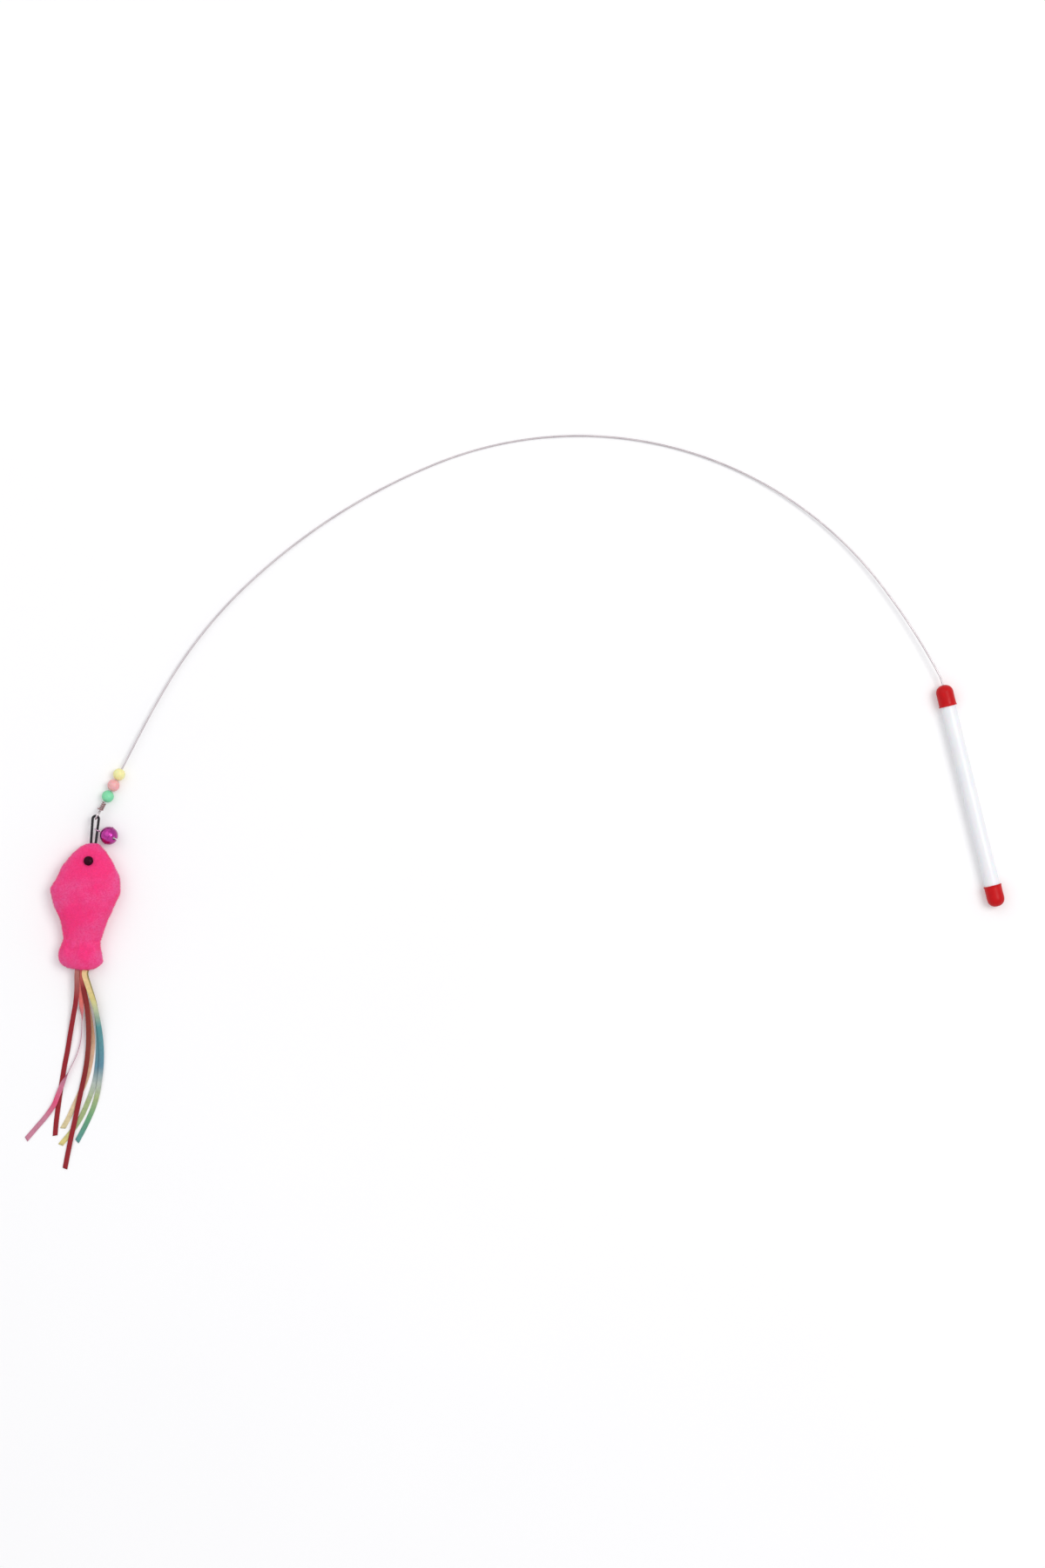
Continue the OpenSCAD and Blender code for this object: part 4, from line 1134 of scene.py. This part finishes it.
def let_out(obj):
    """Widens the filled cloth, which pulled its seams in, until they lie where the sections have them."""
    points = [in_body(v.co) for v in obj.data.vertices]
    shares = []
    for row in ROWS:
        near = [p.x for p in points if abs(p.y + row[0]) < 2.5] or [0]
        found = [(row[1], -min(near)), (row[2], max(near))]
        share = [min(1.3, max(1, want / max(1, have))) for want, have in found]
        shares.append(share if row[0] < 82 else shares[-1])
    for _ in range(2):
        ends = [shares[0], *shares, shares[-1]]
        shares = [
            [(a[side] + 2 * b[side] + c[side]) / 4 for side in (0, 1)] for a, b, c in zip(ends, ends[1:], ends[2:])
        ]
    for v, p in zip(obj.data.vertices, points):
        i = next((k for k in range(1, len(ROWS)) if ROWS[k][0] > -p.y), len(ROWS) - 1)
        t = min(1, max(0, (-p.y - ROWS[i - 1][0]) / (ROWS[i][0] - ROWS[i - 1][0])))
        side = 0 if p.x < 0 else 1
        p.x *= shares[i - 1][side] * (1 - t) + shares[i][side] * t
        v.co = (AT_BODY @ p) * MM
    return obj


def soft_fish():
    """Even mesh, filled by the cloth run, let out and finished."""
    obj = fish_form("fish_start", 0.9)
    modifier(obj, "REMESH", mode="VOXEL", voxel_size=3 * MM)
    obj = baked("fish_even", obj)
    obj = inflate(obj, 1.4)
    obj = let_out(obj)
    modifier(obj, "SUBSURF", levels=2, render_levels=2)
    return sculpt_fish(baked("fish_fine", obj))


def mouth_cutters():
    """Slots for the elastic at steps of its nod, and a round pocket for the knot."""
    place = AT_BODY @ moved(0, -NOSE_LEAD, 0)
    tools = []
    for k in range(5):
        aimed = place @ turned(STEEP * (k / 2 - 1), "X")
        half = 2.8 + 0.01 * k
        tools.append(box_piece("mouth", aimed, (-half, 0, -1.2), (half, 9 + 0.1 * k, 1.2)))
    return tools + [lathe("pocket", [(0, -3), (1.4, -3), (1.4, 3), (0, 3)], place @ turned(90, "Y"), 32)]


fish = smoothed(cut_by(soft_fish(), mouth_cutters(), "fish_plush", AT_BODY))
finish_piece(
    fish, "fish", "pink_plush", PLUSH_CLOTH, "fish_upper_panel", "fish_lower_panel", "fish_stuffing", "fish_tail"
)


# Pile of the plush: short fibres scattered by geometry nodes
def fibre_mesh():
    """One short curved fibre, 1 mm long, its root at the origin, up along Z."""
    points = []
    for z, w in ((0.0, 0.085), (0.5, 0.06)):
        points += [(-w, 0.16 * z * z, z), (w, 0.16 * z * z, z)]
    return new_piece("pile_fibre", [*points, (0, 0.16, 1.0)], [(0, 1, 3, 2), (2, 3, 4)])


def pile_tree():
    """Fibres scattered over a surface, each turned and leaning its own way."""
    tree, given, result = node_tree(
        "pile", "Geometry", {"Geometry": "Geometry"}, Geometry="Geometry", Fibre="Object", Density="Float",
        Shortest="Float", Longest="Float", Lean_one_way="Vector", Lean_the_other_way="Vector", Material="Material",
    )
    scatter = node(tree, "DistributePointsOnFaces", Mesh=given["Geometry"], Density=given["Density"], Seed=7)
    fibre = node(tree, "ObjectInfo", Object=given["Fibre"], As_Instance=True)
    lean = node(
        tree, "FunctionNodeRandomValue", data_type="FLOAT_VECTOR", Min=given["Lean one way"],
        Max=given["Lean the other way"], Seed=11,
    )
    turn = node(tree, "FunctionNodeRotateEuler", space="LOCAL", Rotation=scatter.outputs["Rotation"], Rotate_By=lean)
    size = node(tree, "FunctionNodeRandomValue", Min=given["Shortest"], Max=given["Longest"], Seed=3)
    place = node(
        tree, "InstanceOnPoints", Points=scatter, Instance=fibre.outputs["Geometry"], Rotation=turn, Scale=size
    )
    return end_tree(tree, result, place, given["Material"])


def in_mouth(v):
    """True where fibres would reach into the elastic as the fish nods."""
    p = in_body(v)
    return abs(p.x) < 4 and abs(p.z) * cos(STEEP) - (p.y + NOSE_LEAD) * sin(STEEP) < 2.4


def grow_pile(base, name, density, size):
    """Pile of so many fibres to the square metre, about so many millimetres long."""
    carrier = placed(name + "_base", base.data.copy())
    bm = bmesh.new()
    bm.from_mesh(carrier.data)
    bmesh.ops.delete(bm, geom=[f for f in bm.faces if in_mouth(f.calc_center_median())], context="FACES")
    bm.to_mesh(carrier.data)
    bm.free()
    fibre = fibre_mesh()
    made = grown(
        name, carrier, pile_tree(), Fibre=fibre, Density=density, Shortest=size * 0.65, Longest=size * 1.25,
        Lean_one_way=(-0.55, -0.55, 0.0), Lean_the_other_way=(0.55, 0.55, 6.28), Material=PLUSH_PILE,
    )
    remove(fibre)
    return smoothed(made)


finish_piece(grow_pile(fish, "fish_pile", 5.0e6, 0.85), "fish", "pink_plush", PLUSH_PILE)


# Eyes of the fish, set on the plush
EYE_X, EYE_S = -1, 14
EYE_WIDE = 3.3


def fish_z(s, up):
    """Height of the sections at the eye's side and so far behind the nose."""
    row = next(r for r in ROWS if r[0] >= s)
    side = EYE_X / row[1]
    return (row[3] if up else -row[4]) * (1 - side * side) ** ROUND


def fish_eye(name, up):
    """Domed bead that leans with the plush under it."""
    fall = fish_z(EYE_S + 3.4, up) - fish_z(EYE_S - 3.4, up)
    lean = (0 if up else 180) - math.degrees(math.atan(fall / 6.8))
    place = AT_BODY @ moved(EYE_X, -EYE_S, fish_z(EYE_S, up)) @ turned(lean, "X")
    profile = (
        [(0, 0.15), (2.6, 0.15), (3.0, 0.2)]
        + arc(3.05, 0.5, 0.25, 0.3, 270, 360, 4)
        + [(EYE_WIDE * cos(a), 0.5 + 2.1 * sin(a)) for a in range(8, 90, 6)]
        + [(0, 2.6)]
    )
    return lathe(name, profile, place, 56)


finish_piece(fish_eye("fish_eye_top", True), "fish", "black_eye", EYE_GLOSS, "fish_eye_upper")
finish_piece(fish_eye("fish_eye_under", False), "fish", "black_eye", EYE_GLOSS, "fish_eye_lower")


# Stitched bundle in the tail: folded ribbon ends under a few turns of thread
def tack():
    half = RIBBON_W / 2
    parts = [
        box_piece("tack_fold", AT_TAIL_END, (x - half, 0.05, z - 0.25), (x + half, 4.6, z + 0.25))
        for x, _, z in (route[0] for route in ROUTES.values())
    ]
    turns = []
    for k, y in enumerate((1.2, 2.1, 3.0)):
        round_it = [360 * i / 32 + 20 * k for i in range(32)]
        turns.append([AT_TAIL_END @ vec(0.7 + 4.7 * cos(a), y, 7.5 + 2.25 * sin(a)) for a in round_it])
    parts.append(tube("tack_turns", turns, 0.2, 6, TACK_THREAD, closed=True))
    return joined("ribbon_tack_sewn", parts)


finish_piece(tack(), "fish", "tack_thread", TACK_THREAD, "ribbon_tack")


# Floor and light
def floor_material():
    """Pale surface that the camera sees a little brighter than it's lit."""
    made, tree, shader = surface("pale_floor", Roughness=0.9)
    tint = use(tree, MOTTLE, Colour=(0.93, 0.93, 0.93, 1), Second_colour=(0.9, 0.9, 0.91, 1), Scale=3, Amount=0.4)
    fill(tree, shader, Base_Color=tint)
    lift = maths(tree, "MULTIPLY", node(tree, "LightPath").outputs["Is Camera Ray"], 0.09)
    both = node(tree, "AddShader")
    put(tree, both.inputs[0], shader)
    put(tree, both.inputs[1], node(tree, "Emission", Strength=lift))
    fill(tree, tree.nodes["Material Output"], Surface=both)
    return made


FLOOR_HALF = 3200
corners = [(x * FLOOR_HALF - 300, y * FLOOR_HALF + 150, FLOOR) for x, y in ((-1, -1), (1, -1), (1, 1), (-1, 1))]
floor = new_piece("floor", corners, [(0, 1, 2, 3)], smooth=False)
coat(floor, floor_material())


def area_light(name, place, aim, size, power, colour=(1, 1, 1)):
    data = with_values(bpy.data.lights.new(name, "AREA"), shape="SQUARE", size=size, energy=power, color=colour)
    obj = placed(name, data)
    obj.location = place
    obj.rotation_euler = (aim - place).to_track_quat("-Z", "Y").to_euler()


MIDDLE = vec(-0.3, 0.15, 0)
RIGHT = vec(cos(TILT), sin(TILT), 0)
UP = vec(-sin(TILT), cos(TILT), 0)
area_light("key", MIDDLE + RIGHT * 2.3 + UP * 0.9 + vec(0, 0, 4.4), MIDDLE, 2.4, 96, (1, 0.99, 0.97))
area_light("fill", MIDDLE - RIGHT * 2 + UP * 2 + vec(0, 0, 4.1), MIDDLE, 4.2, 38)

world = bpy.data.worlds.new("studio")
SCENE.world = world
world.use_nodes = True
sky = world.node_tree
rays = node(sky, "LightPath")
seen = maths(sky, "MAXIMUM", rays.outputs["Is Camera Ray"], rays.outputs["Is Glossy Ray"])
seen = maths(sky, "MAXIMUM", seen, rays.outputs["Is Transmission Ray"])
level = node(sky, "MapRange", Value=seen, To_Min=0.6, To_Max=1)
fill(sky, sky.nodes["Background"], Color=(0.97, 0.97, 1, 1), Strength=level)
SCENE.view_settings.view_transform = "Standard"
